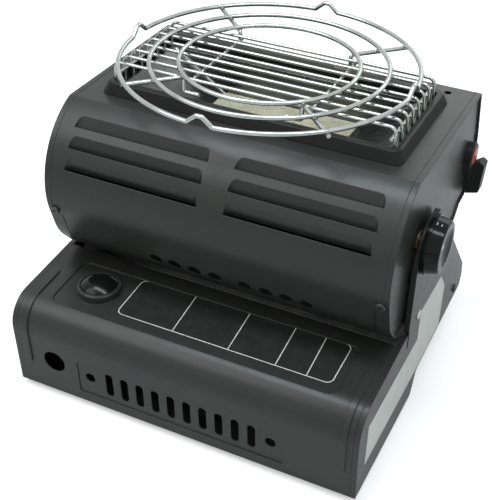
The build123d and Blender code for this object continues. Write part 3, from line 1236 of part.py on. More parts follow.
def igniter_housing():
    """The moulded housing on the drum's right end, with a nose below the button."""
    body = draw_out(housing_face(0), CAP_X, HOUSING_FACE_X)
    points = [(DRUM_HALF + x, PIVOT_Z + z) for x, z in NOSE]
    nose = extrude(make_face(Plane.XZ * FilletPolyline(*points, radius=(0.8, 1.2, 1.2, 2.0, 0.8), close=True)),
                   amount=NOSE_WIDTH, dir=(0, 1, 0))
    body += Pos(0, PIVOT_Y + NOSE_FRONT, 0) * nose
    body -= draw_out(housing_face(-HOUSING_WALL), CAP_X - 1, HOUSING_FACE_X - HOUSING_WALL)
    ring = rod_x(HOUSING_R, HOUSING_FACE_X - 0.5, HOUSING_FACE_X + 1.2, BUTTON_Y, BUTTON_Z)
    body += chamfer(ring.edges().group_by(Axis.X)[-1], 0.8)
    return body - rod_x(BUTTON_R + BUTTON_GAP, HOUSING_FACE_X - 3, HOUSING_FACE_X + 5, BUTTON_Y, BUTTON_Z)


def igniter_button():
    """The red button that strikes the piezo unit."""
    button = rod_x(BUTTON_R, BUTTON_FACE_X - BUTTON_LENGTH, BUTTON_FACE_X, BUTTON_Y, BUTTON_Z)
    return fillet(button.edges().group_by(Axis.X)[-1], 1.8)


def piezo_unit():
    """The piezo unit behind the button, held in the drum end."""
    front = BUTTON_FACE_X - BUTTON_LENGTH - BUTTON_TRAVEL - BUTTON_GAP
    unit = rod_x(PIEZO_R, front - PIEZO_LENGTH, front, BUTTON_Y, BUTTON_Z)
    unit += rod_x(PIEZO_R + PIEZO_COLLAR, CAP_X - 6, CAP_X, BUTTON_Y, BUTTON_Z)
    unit += rod_x(PIEZO_R + PIEZO_FLANGE, CAP_X - DRUM_SHEET - 2, CAP_X - DRUM_SHEET, BUTTON_Y, BUTTON_Z)
    unit -= rod_x(BUTTON_R + BUTTON_GAP, front, CAP_X + 1, BUTTON_Y, BUTTON_Z)
    return unit + rod_x(1.5, front - PIEZO_LENGTH - 5, front - PIEZO_LENGTH, BUTTON_Y, BUTTON_Z)


# ---- assembly ----
def all_pieces():
    side = side_screw(SIDE_SCREW_Y, SIDE_SCREW_Z, SCREW_LENGTH)
    rear = side_screw(RAIL_SCREW_Y, RAIL_SCREW_Z, SCREW_LENGTH)
    bush = pivot_bush()
    pieces = {
        "base_shell": base_shell(),
        "side_plate_left": side_plate_left(),
        "side_plate_right": side_plate_right(),
        "floor_pan": floor_pan(),
        "bulkhead": bulkhead(),
        "heat_shield": heat_shield(),
        "rear_rail": rear_rail(),
        "cartridge_cradle": cartridge_cradle(),
        "regulator": regulator(),
        "regulator_bracket": regulator_bracket(),
        "gas_pipe": gas_pipe(),
        "valve_body": valve_body(),
        "valve_nut": valve_nut(),
        "gas_jet": gas_jet(),
        "left_pivot_pin": left_pivot_pin(),
        "door_hinge_pin": door_hinge_pin(),
        "side_screw_right": side,
        "side_screw_left": mirrored(side),
        "rail_screw_right": rear,
        "rail_screw_left": mirrored(rear),
        "cartridge_door": cartridge_door(),
        "lock_button": lock_button(),
        "latch_bar": latch_bar(),
        "lock_spring": lock_spring(),
        "knob": knob(),
        "valve_spindle": valve_spindle(),
        "drum_shell": drum_shell(),
        "drum_back": drum_back(),
        "drum_end_right": drum_end_right(),
        "drum_end_left": mirrored(drum_end()),
        "bush_right": bush,
        "bush_left": mirrored(bush),
        "drum_screw_right": drum_screw(DRUM_SCREW_X),
        "drum_screw_left": drum_screw(-DRUM_SCREW_X),
        "burner_frame": burner_frame(),
        "reflector": reflector(),
        "burner_box": burner_box(),
        "ceramic_plate": ceramic_plate(),
        "mixer_tube": mixer_tube(),
        "electrode": electrode(),
        "electrode_sleeve": electrode_sleeve(),
        "guard_grille": guard_grille(),
        "igniter_housing": igniter_housing(),
        "piezo_unit": piezo_unit(),
        "igniter_button": igniter_button(),
        "pot_ring": pot_ring(),
    }
    feet = {
        "front_left": (-FRONT_FOOT_X, FRONT_FOOT_Y, BASE_SHEET, BASE_SHEET),
        "front_right": (FRONT_FOOT_X, FRONT_FOOT_Y, BASE_SHEET, BASE_SHEET),
        "rear_left": (-REAR_FOOT_X, RAIL_Y - FOOT_SHELF / 2, 0, RAIL_SHEET),
        "rear_right": (REAR_FOOT_X, RAIL_Y - FOOT_SHELF / 2, 0, RAIL_SHEET),
    }
    for name, (x, y, seat, sheet) in feet.items():
        pieces["foot_" + name] = rubber_foot(x, y, seat, sheet)
    for x in (-FRONT_FOOT_X, FRONT_FOOT_X):
        pieces["floor_pan"] -= rod_z(FOOT_NECK_R + PLAY, 0, 4, x, FRONT_FOOT_Y)
    return pieces


def main():
    pieces = all_pieces()
    boxes = [piece.bounding_box() for piece in pieces.values()]
    middle_x = (min(box.min.X for box in boxes) + max(box.max.X for box in boxes)) / 2
    middle_y = (min(box.min.Y for box in boxes) + max(box.max.Y for box in boxes)) / 2
    foot = min(box.min.Z for box in boxes)
    shift = Pos(-middle_x, -middle_y, -foot)
    os.makedirs("parts", exist_ok=True)
    for name, piece in pieces.items():
        export_step(shift * piece, "parts/" + name + ".step")


main()
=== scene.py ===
import json
import math

import bmesh
import bpy
from mathutils import Matrix, Vector


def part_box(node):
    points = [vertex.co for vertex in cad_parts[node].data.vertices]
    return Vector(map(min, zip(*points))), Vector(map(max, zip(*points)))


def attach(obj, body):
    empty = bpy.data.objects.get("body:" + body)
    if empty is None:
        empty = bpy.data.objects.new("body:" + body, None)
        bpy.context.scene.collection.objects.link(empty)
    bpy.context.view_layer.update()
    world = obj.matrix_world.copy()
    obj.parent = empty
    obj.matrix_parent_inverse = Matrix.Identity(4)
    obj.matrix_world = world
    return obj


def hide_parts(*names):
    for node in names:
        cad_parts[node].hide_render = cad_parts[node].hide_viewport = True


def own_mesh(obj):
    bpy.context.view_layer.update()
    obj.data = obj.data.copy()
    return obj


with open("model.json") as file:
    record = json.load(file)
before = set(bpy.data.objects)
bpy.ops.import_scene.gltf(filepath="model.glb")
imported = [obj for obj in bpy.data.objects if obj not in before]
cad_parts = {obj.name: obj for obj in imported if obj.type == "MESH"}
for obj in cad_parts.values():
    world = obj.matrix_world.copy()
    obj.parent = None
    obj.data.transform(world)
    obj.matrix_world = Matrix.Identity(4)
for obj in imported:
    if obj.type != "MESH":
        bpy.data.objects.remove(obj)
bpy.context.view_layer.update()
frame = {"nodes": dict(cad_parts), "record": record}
NODES = frame["nodes"]

# ---- the part's modelling frame: X = 0 mid base, Y = 0 foot of the front, Z = 0 lower edge ----
MM = 0.001
FRONT_FOOT_X = 0.129
FRONT_FOOT_Y = 0.014
FOOT_HEIGHT = 0.005
foot_low, foot_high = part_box("foot_front_right")
SHIFT = Vector((
    (foot_low.x + foot_high.x) / 2 - FRONT_FOOT_X,
    (foot_low.y + foot_high.y) / 2 - FRONT_FOOT_Y,
    FOOT_HEIGHT,
))


def at(x, y, z):
    """A place given in mm in the part's modelling frame, as a point of the row frame."""
    return Vector((x * MM, y * MM, z * MM)) + SHIFT


# ---- node helpers ----
INPUT_MARK = "in_"
NOISE_LOW = 0.3
NOISE_HIGH = 0.7
BEVEL_SAMPLES = 4


def new_material(name):
    """A new material with its node tree and its shader."""
    material = bpy.data.materials.new(name)
    material.use_nodes = True
    tree = material.node_tree
    return material, tree, tree.nodes["Principled BSDF"]


def add(tree, kind, **values):
    """A node with its settings, and with its constant inputs under names that start with in_."""
    node = tree.nodes.new(kind)
    for key, value in values.items():
        if key.startswith(INPUT_MARK):
            node.inputs[key[len(INPUT_MARK):].replace("_", " ")].default_value = value
        else:
            setattr(node, key, value)
    return node


def link(tree, source, target):
    tree.links.new(source, target)


def object_coordinates(tree, scale=(1, 1, 1)):
    coordinates = add(tree, "ShaderNodeTexCoord")
    mapping = add(tree, "ShaderNodeMapping", in_Scale=scale)
    link(tree, coordinates.outputs["Object"], mapping.inputs["Vector"])
    return mapping.outputs["Vector"]


def noise(tree, vector, scale, detail, rough):
    node = add(tree, "ShaderNodeTexNoise", in_Scale=scale, in_Detail=detail, in_Roughness=rough)
    link(tree, vector, node.inputs["Vector"])
    return node.outputs["Fac"]


def ramp(tree, source, low, high, low_at, high_at):
    """A two-colour ramp of a factor."""
    node = add(tree, "ShaderNodeValToRGB")
    for element, place, colour in zip(node.color_ramp.elements, (low_at, high_at), (low, high)):
        element.position = place
        element.color = (*colour, 1)
    link(tree, source, node.inputs["Fac"])
    return node.outputs["Color"]


def remap(tree, source, low, high, low_from=NOISE_LOW, high_from=NOISE_HIGH):
    """A factor stretched from one range to another."""
    node = add(tree, "ShaderNodeMapRange", in_From_Min=low_from, in_From_Max=high_from,
               in_To_Min=low, in_To_Max=high)
    link(tree, source, node.inputs["Value"])
    return node.outputs["Result"]


def multiply(tree, colour, factor):
    """A colour darkened by another colour or by a factor."""
    node = add(tree, "ShaderNodeMix", data_type="RGBA", blend_type="MULTIPLY", in_Factor=1.0)
    link(tree, colour, node.inputs["A"])
    link(tree, factor, node.inputs["B"])
    return node.outputs["Result"]


def bump(tree, shader, height, distance, strength):
    node = add(tree, "ShaderNodeBump", in_Strength=strength, in_Distance=distance)
    link(tree, height, node.inputs["Height"])
    link(tree, node.outputs["Normal"], shader.inputs["Normal"])
    return node


def edge_normal(tree, bump_node, radius):
    """Softens the sharp edges of a pressed or moulded piece."""
    bevel = add(tree, "ShaderNodeBevel", samples=BEVEL_SAMPLES, in_Radius=radius)
    link(tree, bevel.outputs["Normal"], bump_node.inputs["Normal"])


# ---- finishes ----
PATCH_NOISE = {"detail": 4.0, "rough": 0.6}
PATCH_LOW = 0.3
PATCH_HIGH = 0.65
SMUDGE_NOISE = {"detail": 5.0, "rough": 0.65}
SMUDGES_PER_PATCH = 2.3
GRAIN_NOISE = {"detail": 2.0, "rough": 0.5}
GRAIN_STRENGTH = 0.2


def basic(name, colour, dark, roughness, metallic=0.0, grain=900.0, grain_depth=0.00002,
          mottle=25.0, rough_spread=0.06, edge=0.0006, specular=0.5):
    """A finish with a mottled colour, uneven gloss, fine grain and softened edges."""
    material, tree, shader = new_material(name)
    vector = object_coordinates(tree)
    patches = noise(tree, vector, mottle, **PATCH_NOISE)
    tint = ramp(tree, patches, dark, colour, PATCH_LOW, PATCH_HIGH)
    link(tree, tint, shader.inputs["Base Color"])
    smudges = noise(tree, vector, mottle * SMUDGES_PER_PATCH, **SMUDGE_NOISE)
    gloss = remap(tree, smudges, roughness - rough_spread, roughness + rough_spread)
    link(tree, gloss, shader.inputs["Roughness"])
    shader.inputs["Metallic"].default_value = metallic
    shader.inputs["Specular IOR Level"].default_value = specular
    grains = noise(tree, vector, grain, **GRAIN_NOISE)
    bump_node = bump(tree, shader, grains, grain_depth, GRAIN_STRENGTH)
    if edge:
        edge_normal(tree, bump_node, edge)
    return material


def reflector_steel():
    """The reflector pan: bright sheet, blued and dulled by the burner's heat."""
    material, tree, shader = new_material("reflector_steel")
    clouds = noise(tree, object_coordinates(tree), scale=22.0, detail=4.0, rough=0.55)
    tint = ramp(tree, clouds, low=(0.11, 0.12, 0.12), high=(0.19, 0.20, 0.19),
                low_at=0.35, high_at=0.65)
    link(tree, tint, shader.inputs["Base Color"])
    shader.inputs["Metallic"].default_value = 1.0
    along_x = object_coordinates(tree, scale=(18, 260, 260))
    streaks = noise(tree, along_x, scale=1.0, detail=3.0, rough=0.5)
    link(tree, remap(tree, streaks, low=0.16, high=0.30), shader.inputs["Roughness"])
    bump_node = bump(tree, shader, streaks, distance=0.000008, strength=0.3)
    edge_normal(tree, bump_node, radius=0.0006)
    return material


def ceramic():
    """The porous burner plate: beige, granular, with a field of small gas holes, each darkened as
    painted shade and sunk by a bump.
    """
    material, tree, shader = new_material("ceramic")
    vector = object_coordinates(tree)
    grains = noise(tree, vector, scale=700.0, detail=6.0, rough=0.7)
    base = ramp(tree, grains, low=(0.36, 0.345, 0.25), high=(0.60, 0.58, 0.455),
                low_at=0.36, high_at=0.60)
    patches = noise(tree, vector, scale=60.0, detail=4.0, rough=0.6)
    stain = ramp(tree, patches, low=(0.82, 0.80, 0.74), high=(1.0, 1.0, 1.0),
                 low_at=0.35, high_at=0.6)
    holes = add(tree, "ShaderNodeTexVoronoi", feature="F1", in_Scale=560.0, in_Randomness=0.25)
    link(tree, vector, holes.inputs["Vector"])
    # darker dots at the holes: painted shade inside each hole; the same pattern is the bump's
    # height
    hole_depth_and_shade = remap(tree, holes.outputs["Distance"], low=0.62, high=1.0,
                      low_from=0.10, high_from=0.24)
    shaded = multiply(tree, multiply(tree, base, stain), hole_depth_and_shade)
    link(tree, shaded, shader.inputs["Base Color"])
    shader.inputs["Roughness"].default_value = 0.9
    bump(tree, shader, hole_depth_and_shade, distance=0.0006, strength=0.6)
    return material


# name: colour, colour of the dark patches, roughness, what differs from the settings of basic
FINISHES = {
    "black_enamel": ((0.0235, 0.0255, 0.0230), (0.0200, 0.0220, 0.0200), 0.33, {
        "grain": 420.0, "grain_depth": 0.00001, "rough_spread": 0.03, "edge": 0.0009,
        "specular": 0.31}),
    "frame_enamel": ((0.009, 0.0105, 0.0097), (0.007, 0.008, 0.0073), 0.33, {
        "grain": 420.0, "grain_depth": 0.00001, "rough_spread": 0.03, "edge": 0.0009,
        "specular": 0.2}),
    "black_inner": ((0.022, 0.022, 0.021), (0.014, 0.014, 0.014), 0.55, {}),
    "black_screw": ((0.030, 0.033, 0.032), (0.020, 0.022, 0.022), 0.32, {
        "mottle": 150.0, "edge": 0.0003}),
    "chrome_wire": ((0.48, 0.515, 0.50), (0.36, 0.39, 0.375), 0.20, {
        "metallic": 1.0, "grain": 300.0, "grain_depth": 0.00001, "mottle": 60.0, "edge": 0.0}),
    "galvanised": ((0.26, 0.26, 0.25), (0.17, 0.17, 0.165), 0.36, {
        "metallic": 1.0, "grain": 140.0, "grain_depth": 0.00003, "mottle": 70.0,
        "rough_spread": 0.1}),
    "zinc_steel": ((0.62, 0.62, 0.60), (0.45, 0.45, 0.44), 0.3, {
        "metallic": 1.0, "mottle": 150.0, "edge": 0.0002}),
    "die_cast": ((0.52, 0.52, 0.52), (0.40, 0.40, 0.40), 0.42, {
        "metallic": 1.0, "mottle": 90.0}),
    "brass": ((0.70, 0.50, 0.20), (0.55, 0.38, 0.14), 0.28, {
        "metallic": 1.0, "mottle": 120.0}),
    # brass darkened far below its own colour: painted shade for the parts seen in the dark gap
    # behind the ear
    "brass_with_painted_shade": ((0.16, 0.12, 0.06), (0.09, 0.07, 0.04), 0.45, {
        "metallic": 1.0, "mottle": 120.0, "edge": 0.0003}),
    "copper": ((0.72, 0.36, 0.22), (0.50, 0.24, 0.14), 0.3, {
        "metallic": 1.0, "mottle": 90.0}),
    "white_ceramic": ((0.80, 0.79, 0.75), (0.70, 0.68, 0.62), 0.25, {}),
    "black_plastic": ((0.006, 0.007, 0.0065), (0.004, 0.005, 0.0045), 0.13, {
        "grain": 400.0, "grain_depth": 0.00001, "rough_spread": 0.05, "specular": 0.16}),
    "matte_plastic": ((0.014, 0.015, 0.0145), (0.009, 0.010, 0.0095), 0.40, {
        "grain": 1400.0, "grain_depth": 0.00004, "edge": 0.0007, "specular": 0.22}),
    "red_plastic": ((0.42, 0.035, 0.022), (0.34, 0.026, 0.018), 0.2, {
        "edge": 0.0005}),
    "rubber": ((0.018, 0.018, 0.018), (0.011, 0.011, 0.011), 0.75, {
        "grain": 1600.0}),
    "print_white": ((0.60, 0.61, 0.57), (0.50, 0.51, 0.47), 0.5, {
        "mottle": 220.0, "edge": 0.0}),
    "print_black": ((0.016, 0.018, 0.016), (0.012, 0.013, 0.012), 0.33, {
        "mottle": 90.0, "edge": 0.0}),
    "label_white": ((0.56, 0.60, 0.56), (0.49, 0.53, 0.49), 0.45, {
        "mottle": 60.0, "edge": 0.0}),
}

MATERIALS = {name: basic(name, colour, dark, roughness, **more)
             for name, (colour, dark, roughness, more) in FINISHES.items()}
MATERIALS["ceramic"] = ceramic()
MATERIALS["reflector_steel"] = reflector_steel()

# nodes whose finish is not the one of their slot
OWN_FINISH = {
    "reflector": "reflector_steel",
    "burner_frame": "frame_enamel",
    "drum_screw_left": "black_screw",
    "drum_screw_right": "black_screw",
    "rail_screw_left": "black_screw",
    "rail_screw_right": "black_screw",
    "left_pivot_pin": "black_screw",
    # the valve parts and the bushes take the brass darkened as painted shade
    "valve_body": "brass_with_painted_shade",
    "valve_nut": "brass_with_painted_shade",
    "bush_left": "brass_with_painted_shade",
    "bush_right": "brass_with_painted_shade",
}


def dress_nodes():
    """Every CAD node takes the material of its slot, or its own finish."""
    for entry in frame["record"]["subparts"]:
        target = NODES[entry["node"]]
        name = OWN_FINISH.get(entry["node"], entry["material_slot"])
        target.data.materials.clear()
        target.data.materials.append(MATERIALS[name])


# ---- helpers for the pieces ----
RAY_START_Z = 1.0
DOWN = Vector((0, 0, -1))
BEAD_UNEVEN = 0.10
BEAD_WAVES = (9.0, 7.0)
BEAD_SHIFTS = (400.0, 300.0)


def show(piece):
    bpy.context.scene.collection.objects.link(piece)


def mesh_object(name, build, slot, body, finish=None):
    """A piece whose mesh a function builds, with the finish of its slot or its own."""
    mesh = bpy.data.meshes.new(name)
    bm = bmesh.new()
    build(bm)
    bm.normal_update()
    bm.to_mesh(mesh)
    bm.free()
    piece = bpy.data.objects.new(name, mesh)
    show(piece)
    mesh.materials.append(MATERIALS[finish or slot])
    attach(piece, body)


def deck_point(x, y):
    """The point of the deck's upper face above a place given in mm."""
    place = at(x, y, 0)
    start = Vector((place.x, place.y, RAY_START_Z))
    hit, found, normal, face = NODES["base_shell"].ray_cast(start, DOWN)
    if not hit:
        raise RuntimeError("no deck at %s, %s" % (x, y))
    place.z = found.z
    return place


def arc_points(middle, radius, start, turn, steps):
    """Points on an arc in a plane, from a start angle through a turn in degrees."""
    points = []
    for step in range(steps + 1):
        angle = math.radians(start + turn * step / steps)
        points.append((middle[0] + radius * math.cos(angle), middle[1] + radius * math.sin(angle)))
    return points


def rounded_rectangle(x0, x1, y0, y1, radius, steps=6):
    corners = ((x1 - radius, y0 + radius, -90), (x1 - radius, y1 - radius, 0),
               (x0 + radius, y1 - radius, 90), (x0 + radius, y0 + radius, 180))
    points = []
    for x, y, start in corners:
        points += arc_points((x, y), radius, start, 90, steps)
    return points


def prism(bm, outline, drop):
    """A closed plate from its upper outline, given as points, and the way down."""
    upper = [bm.verts.new(point) for point in outline]
    lower = [bm.verts.new(point + drop) for point in outline]
    bm.faces.new(upper)
    bm.faces.new(lower[::-1])
    for index in range(len(outline)):
        after = (index + 1) % len(outline)
        bm.faces.new((upper[after], upper[index], lower[index], lower[after]))


def ribbon(bm, points, normal, width, thick, closed=False):
    """A flat raised line along points on a face."""
    count = len(points)
    rows = []
    for index, point in enumerate(points):
        before = points[index - 1] if closed or index else point
        after = points[(index + 1) % count] if closed or index < count - 1 else point
        along = (after - before).normalized()
        across = along.cross(normal).normalized() * (width / 2)
        up = normal * thick
        rows.append([bm.verts.new(point + across), bm.verts.new(point - across),
                     bm.verts.new(point - across + up), bm.verts.new(point + across + up)])
    for index in range(count if closed else count - 1):
        here, there = rows[index], rows[(index + 1) % count]
        for side in range(4):
            after = (side + 1) % 4
            bm.faces.new((here[side], here[after], there[after], there[side]))
    if not closed:
        bm.faces.new(rows[0][::-1])
        bm.faces.new(rows[-1])


def seed_bead(bm, place, along, length, width):
    """One weld bead: an uneven rounded blob lying along a wire."""
    made = bmesh.ops.create_icosphere(bm, subdivisions=2, radius=1.0)["verts"]
    turn = Vector((1, 0, 0)).rotation_difference(along)
    for vertex in made:
        spot = vertex.co
        wave_x = math.sin(BEAD_WAVES[0] * spot.x + BEAD_SHIFTS[0] * place.x)
        wave_y = math.cos(BEAD_WAVES[1] * spot.y + BEAD_SHIFTS[1] * place.y)
        uneven = 1.0 + BEAD_UNEVEN * wave_x * wave_y
        shape = Vector((spot.x * length, spot.y * width, spot.z * width))
        vertex.co = place + turn @ shape * uneven


# ---- rolled seams of the drum's ends ----
SEAM_INSET = 0.0045
SEAM_R = 0.00032
SEAM_RESOLUTION = 2
MERGE_DISTANCE = 2e-6
CUT_DISTANCE = 1e-7


def section_loops(node, x):
    """The lines in which a plane across X cuts a node."""
    bm = bmesh.new()
    bm.from_mesh(NODES[node].data)
    bmesh.ops.remove_doubles(bm, verts=bm.verts[:], dist=MERGE_DISTANCE)
    cut = bmesh.ops.bisect_plane(bm, geom=bm.verts[:] + bm.edges[:] + bm.faces[:],
                                 dist=CUT_DISTANCE, plane_co=(x, 0, 0),
                                 plane_no=(1, 0, 0))["geom_cut"]
    beside = {}
    for edge in cut:
        if isinstance(edge, bmesh.types.BMEdge):
            first, second = edge.verts
            beside.setdefault(first, []).append(second)
            beside.setdefault(second, []).append(first)
    loops = []
    seen = set()
    for start in beside:
        if start in seen:
            continue
        line = []
        ahead = [start]
        while ahead:
            here = ahead[0]
            seen.add(here)
            line.append(here)
            ahead = [vert for vert in beside[here] if vert not in seen]
        loops.append([vert.co.copy() for vert in line])
    bm.free()
    return loops


def spread(loop):
    """How far a line across X reaches in Y and in Z together."""
    ys = [point.y for point in loop]
    zs = [point.z for point in loop]
    return max(ys) - min(ys) + max(zs) - min(zs)


def drum_seams():
    low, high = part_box("drum_shell")
    places = (("drum_seam_left", low.x + SEAM_INSET), ("drum_seam_right", high.x - SEAM_INSET))
    for name, x in places:
        loop = max(section_loops("drum_shell", x), key=spread)
        curve = bpy.data.curves.new(name, "CURVE")
        curve.dimensions = "3D"
        curve.bevel_depth = SEAM_R
        curve.bevel_resolution = SEAM_RESOLUTION
        spline = curve.splines.new("POLY")
        spline.points.add(len(loop) - 1)
        for point, place in zip(spline.points, loop):
            point.co = (*place, 1)
        spline.use_cyclic_u = True
        seam = bpy.data.objects.new(name, curve)
        show(seam)
        curve.materials.append(MATERIALS["black_inner"])
        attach(seam, "drum")


# ---- printed panel of the deck, without its lettering; its outline and dividers in mm ----
PANEL = (-64.2, 109.8, 21.9, 63.2)
PANEL_R = 5.0
PANEL_DIVIDERS = (-17.4, 28.2, 65.8, 90.0)
DIVIDER_FRONT = 1.0
DIVIDER_REAR = -0.6
PANEL_PROBE = 9
FIELD_LIFT = 0.00005
FIELD_THICK = 0.00008
PRINT_LIFT = 0.00004
PRINT_WIDTH = 0.0007
PRINT_THICK = 0.00004


def deck_panel():
    x0, x1, y0, y1 = PANEL
    origin = deck_point(x0 + PANEL_PROBE, y0 + PANEL_PROBE)
    right = deck_point(x1 - PANEL_PROBE, y0 + PANEL_PROBE)
    rear = deck_point(x0 + PANEL_PROBE, y1 - PANEL_PROBE)
    normal = (right - origin).cross(rear - origin).normalized()
    outline = rounded_rectangle(x0, x1, y0, y1, PANEL_R)

    def on_deck(x, y, lift):
        """A point over the plane of the deck's recess."""
        place = at(x, y, 0)
        away = place - origin
        place.z = origin.z - (normal.x * away.x + normal.y * away.y) / normal.z
        return place + normal * lift

    def field(bm):
        prism(bm, [on_deck(x, y, FIELD_LIFT) for x, y in outline], -normal * FIELD_THICK)

    def lines(bm):
        edge = [on_deck(x, y, PRINT_LIFT) for x, y in outline]
        ribbon(bm, edge, normal, PRINT_WIDTH, PRINT_THICK, closed=True)
        for x in PANEL_DIVIDERS:
            divider = [on_deck(x + DIVIDER_FRONT, y0, PRINT_LIFT),
                       on_deck(x + DIVIDER_REAR, y1, PRINT_LIFT)]
            ribbon(bm, divider, normal, PRINT_WIDTH, PRINT_THICK)

    mesh_object("deck_panel_field", field, "black_plastic", "base", "print_black")
    mesh_object("deck_panel_lines", lines, "white_ceramic", "base", "print_white")


# ---- plain label on the right side plate; its corners in Y and Z in mm ----
SIDE_LABEL = ((14.0, 21.5), (139.0, 21.5), (187.0, 25.3), (187.0, 66.0), (170.0, 86.0),
              (119.5, 86.0), (119.5, 58.5), (14.0, 58.5))
LABEL_LIFT = 0.00012
LABEL_THICK = 0.00016


def side_label():
    low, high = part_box("side_plate_right")

    def sheet(bm):
        outline = [at(0, y, z) for y, z in SIDE_LABEL]
        for point in outline:
            point.x = high.x + LABEL_LIFT
        prism(bm, outline, Vector((-LABEL_THICK, 0, 0)))

    mesh_object("side_label", sheet, "white_ceramic", "base", "label_white")


# ---- a dark sheet in the relief notch at the foot of the left ear, painted shade where the white background would show through the notch; places in mm ----
SHADE_SHEET_X = -141.7
SHADE_SHEET_THICK = 0.0006
SHADE_SHEET_STEPS = 8
NOTCH_Y = 91.0
NOTCH_FOOT_Z = 72.0
NOTCH_HALF = 1.45
NOTCH_DECK_Z = 83.9
NOTCH_TOP_Z = 85.9
EAR_PLAY = 0.05


def notch_shade_sheet():
    outline = arc_points((NOTCH_Y, NOTCH_FOOT_Z), NOTCH_HALF, 180, 180, SHADE_SHEET_STEPS)
    outline += [(NOTCH_Y + NOTCH_HALF, NOTCH_TOP_Z), (NOTCH_Y + EAR_PLAY, NOTCH_TOP_Z),
                (NOTCH_Y + EAR_PLAY, NOTCH_DECK_Z), (NOTCH_Y - NOTCH_HALF, NOTCH_DECK_Z)]

    def shade_sheet_mesh(bm):
        prism(bm, [at(SHADE_SHEET_X, y, z) for y, z in outline], Vector((-SHADE_SHEET_THICK, 0, 0)))

    # the sheet's dark finish is painted shade in the notch
    mesh_object("notch_shade_sheet", shade_sheet_mesh, "black_inner", "base")


# ---- weld beads of the wire work: places in mm, lengths and widths of the beads in m ----
RING_MIDDLE = (-3.6, 152.5)
RING_RADII = (66.9, 88.4, 110.8)
RING_Z = 243.05
RING_WIRE = 1.7
RING_BEAD_RISE = 0.1
RING_BEAD = (0.0025, 0.0012)
SPOKE_ANGLES = (45, 135, 225, 315)
GUARD_Y = (110.3, 195.7)
GUARD_COUNT = 8
GUARD_Z = 237.0
GUARD_WIRE = 1.3
GUARD_CROSS_X = 47.5
GUARD_BEAD = (0.0021, 0.0010)


def ring_welds(bm):
    """A bead where each ring crosses each spoke."""
    for radius in RING_RADII:
        for turn in SPOKE_ANGLES:
            angle = math.radians(turn)
            place = at(RING_MIDDLE[0] + radius * math.cos(angle),
                       RING_MIDDLE[1] + radius * math.sin(angle),
                       RING_Z - RING_WIRE + RING_BEAD_RISE)
            along = Vector((-math.sin(angle), math.cos(angle), 0))
            seed_bead(bm, place, along, *RING_BEAD)


def guard_welds(bm):
    """A bead where each wire of the guard crosses each cross wire."""
    for index in range(GUARD_COUNT):
        y = GUARD_Y[0] + (GUARD_Y[1] - GUARD_Y[0]) * index / (GUARD_COUNT - 1)
        for x in (-GUARD_CROSS_X, GUARD_CROSS_X):
            seed_bead(bm, at(x, y, GUARD_Z - GUARD_WIRE), Vector((1, 0, 0)), *GUARD_BEAD)


def wire_welds():
    mesh_object("ring_welds", ring_welds, "chrome_wire", "pot_ring")
    mesh_object("guard_welds", guard_welds, "chrome_wire", "drum")


# ---- the spring under the push button, which is pressed flat between button and deck ----
def button_spring():
    mesh = NODES["lock_spring"].data.copy()
    spring = bpy.data.objects.new("button_spring", mesh)
    show(spring)
    mesh.materials.clear()
    mesh.materials.append(MATERIALS["zinc_steel"])
    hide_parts("lock_spring")
    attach(spring, "lock")
    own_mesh(spring)


# ---- white marks on the knob's upper side: distance from its inner face and angle that each takes up ----
KNOB_MARKS = ((0.0052, 0.12), (0.0085, 0.10))
MARK_ANGLE = math.radians(76)
MARK_STEPS = 4
MARK_WIDTH = 0.0007
MARK_THICK = 0.00012
KNOB_INSET = 0.0004
KNOB_TAPER = 0.18
TAPER_START = 0.004


def knob_marks():
    low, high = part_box("knob")
    middle = (low + high) / 2
    radius = (high.z - low.z) / 2
    normal = Vector((0, -math.cos(MARK_ANGLE), math.sin(MARK_ANGLE)))

    def marks(bm):
        for x, sweep in KNOB_MARKS:
            reach = radius - KNOB_INSET - KNOB_TAPER * (x - TAPER_START)
            points = []
            for step in range(MARK_STEPS + 1):
                angle = MARK_ANGLE + sweep * (step / MARK_STEPS - 0.5)
                points.append(Vector((low.x + x, middle.y - reach * math.cos(angle),
                                      middle.z + reach * math.sin(angle))))
            ribbon(bm, points, normal, MARK_WIDTH, MARK_THICK)

    mesh_object("knob_marks", marks, "white_ceramic", "knob", "print_white")


# ---- world, lamps and floor ----
WHITE = (1, 1, 1, 1)
WORLD_ON_OBJECT = 0.44
WORLD_SHOWN = 1.0
FLOOR_SIZE = 6.0
FLOOR_COLOUR = (0.86, 0.86, 0.86, 1)
FLOOR_ROUGHNESS = 0.9
FLOOR_GLOW = 0.42

# name, place, aim, size, power in W, colour
LAMPS = (
    ("key", (-0.75, -0.7, 1.3), (0, 0, 0.1), (1.0, 0.8), 8.5, (1, 1, 1)),
    ("top", (0.05, -0.15, 1.15), (0.05, -0.05, 0.1), (1.1, 0.20), 9, (0.86, 0.95, 1.0)),
    ("rear", (0.3, 1.4, 0.9), (0, 0, 0.15), (1.4, 0.5), 3, (1, 1, 1)),
    ("right", (1.5, -0.1, 0.9), (0, 0, 0.1), (0.8, 0.8), 0.5, (1, 1, 1)),
)


def larger(tree, first, second):
    node = add(tree, "ShaderNodeMath", operation="MAXIMUM")
    link(tree, first, node.inputs[0])
    link(tree, second, node.inputs[1])
    return node.outputs["Value"]


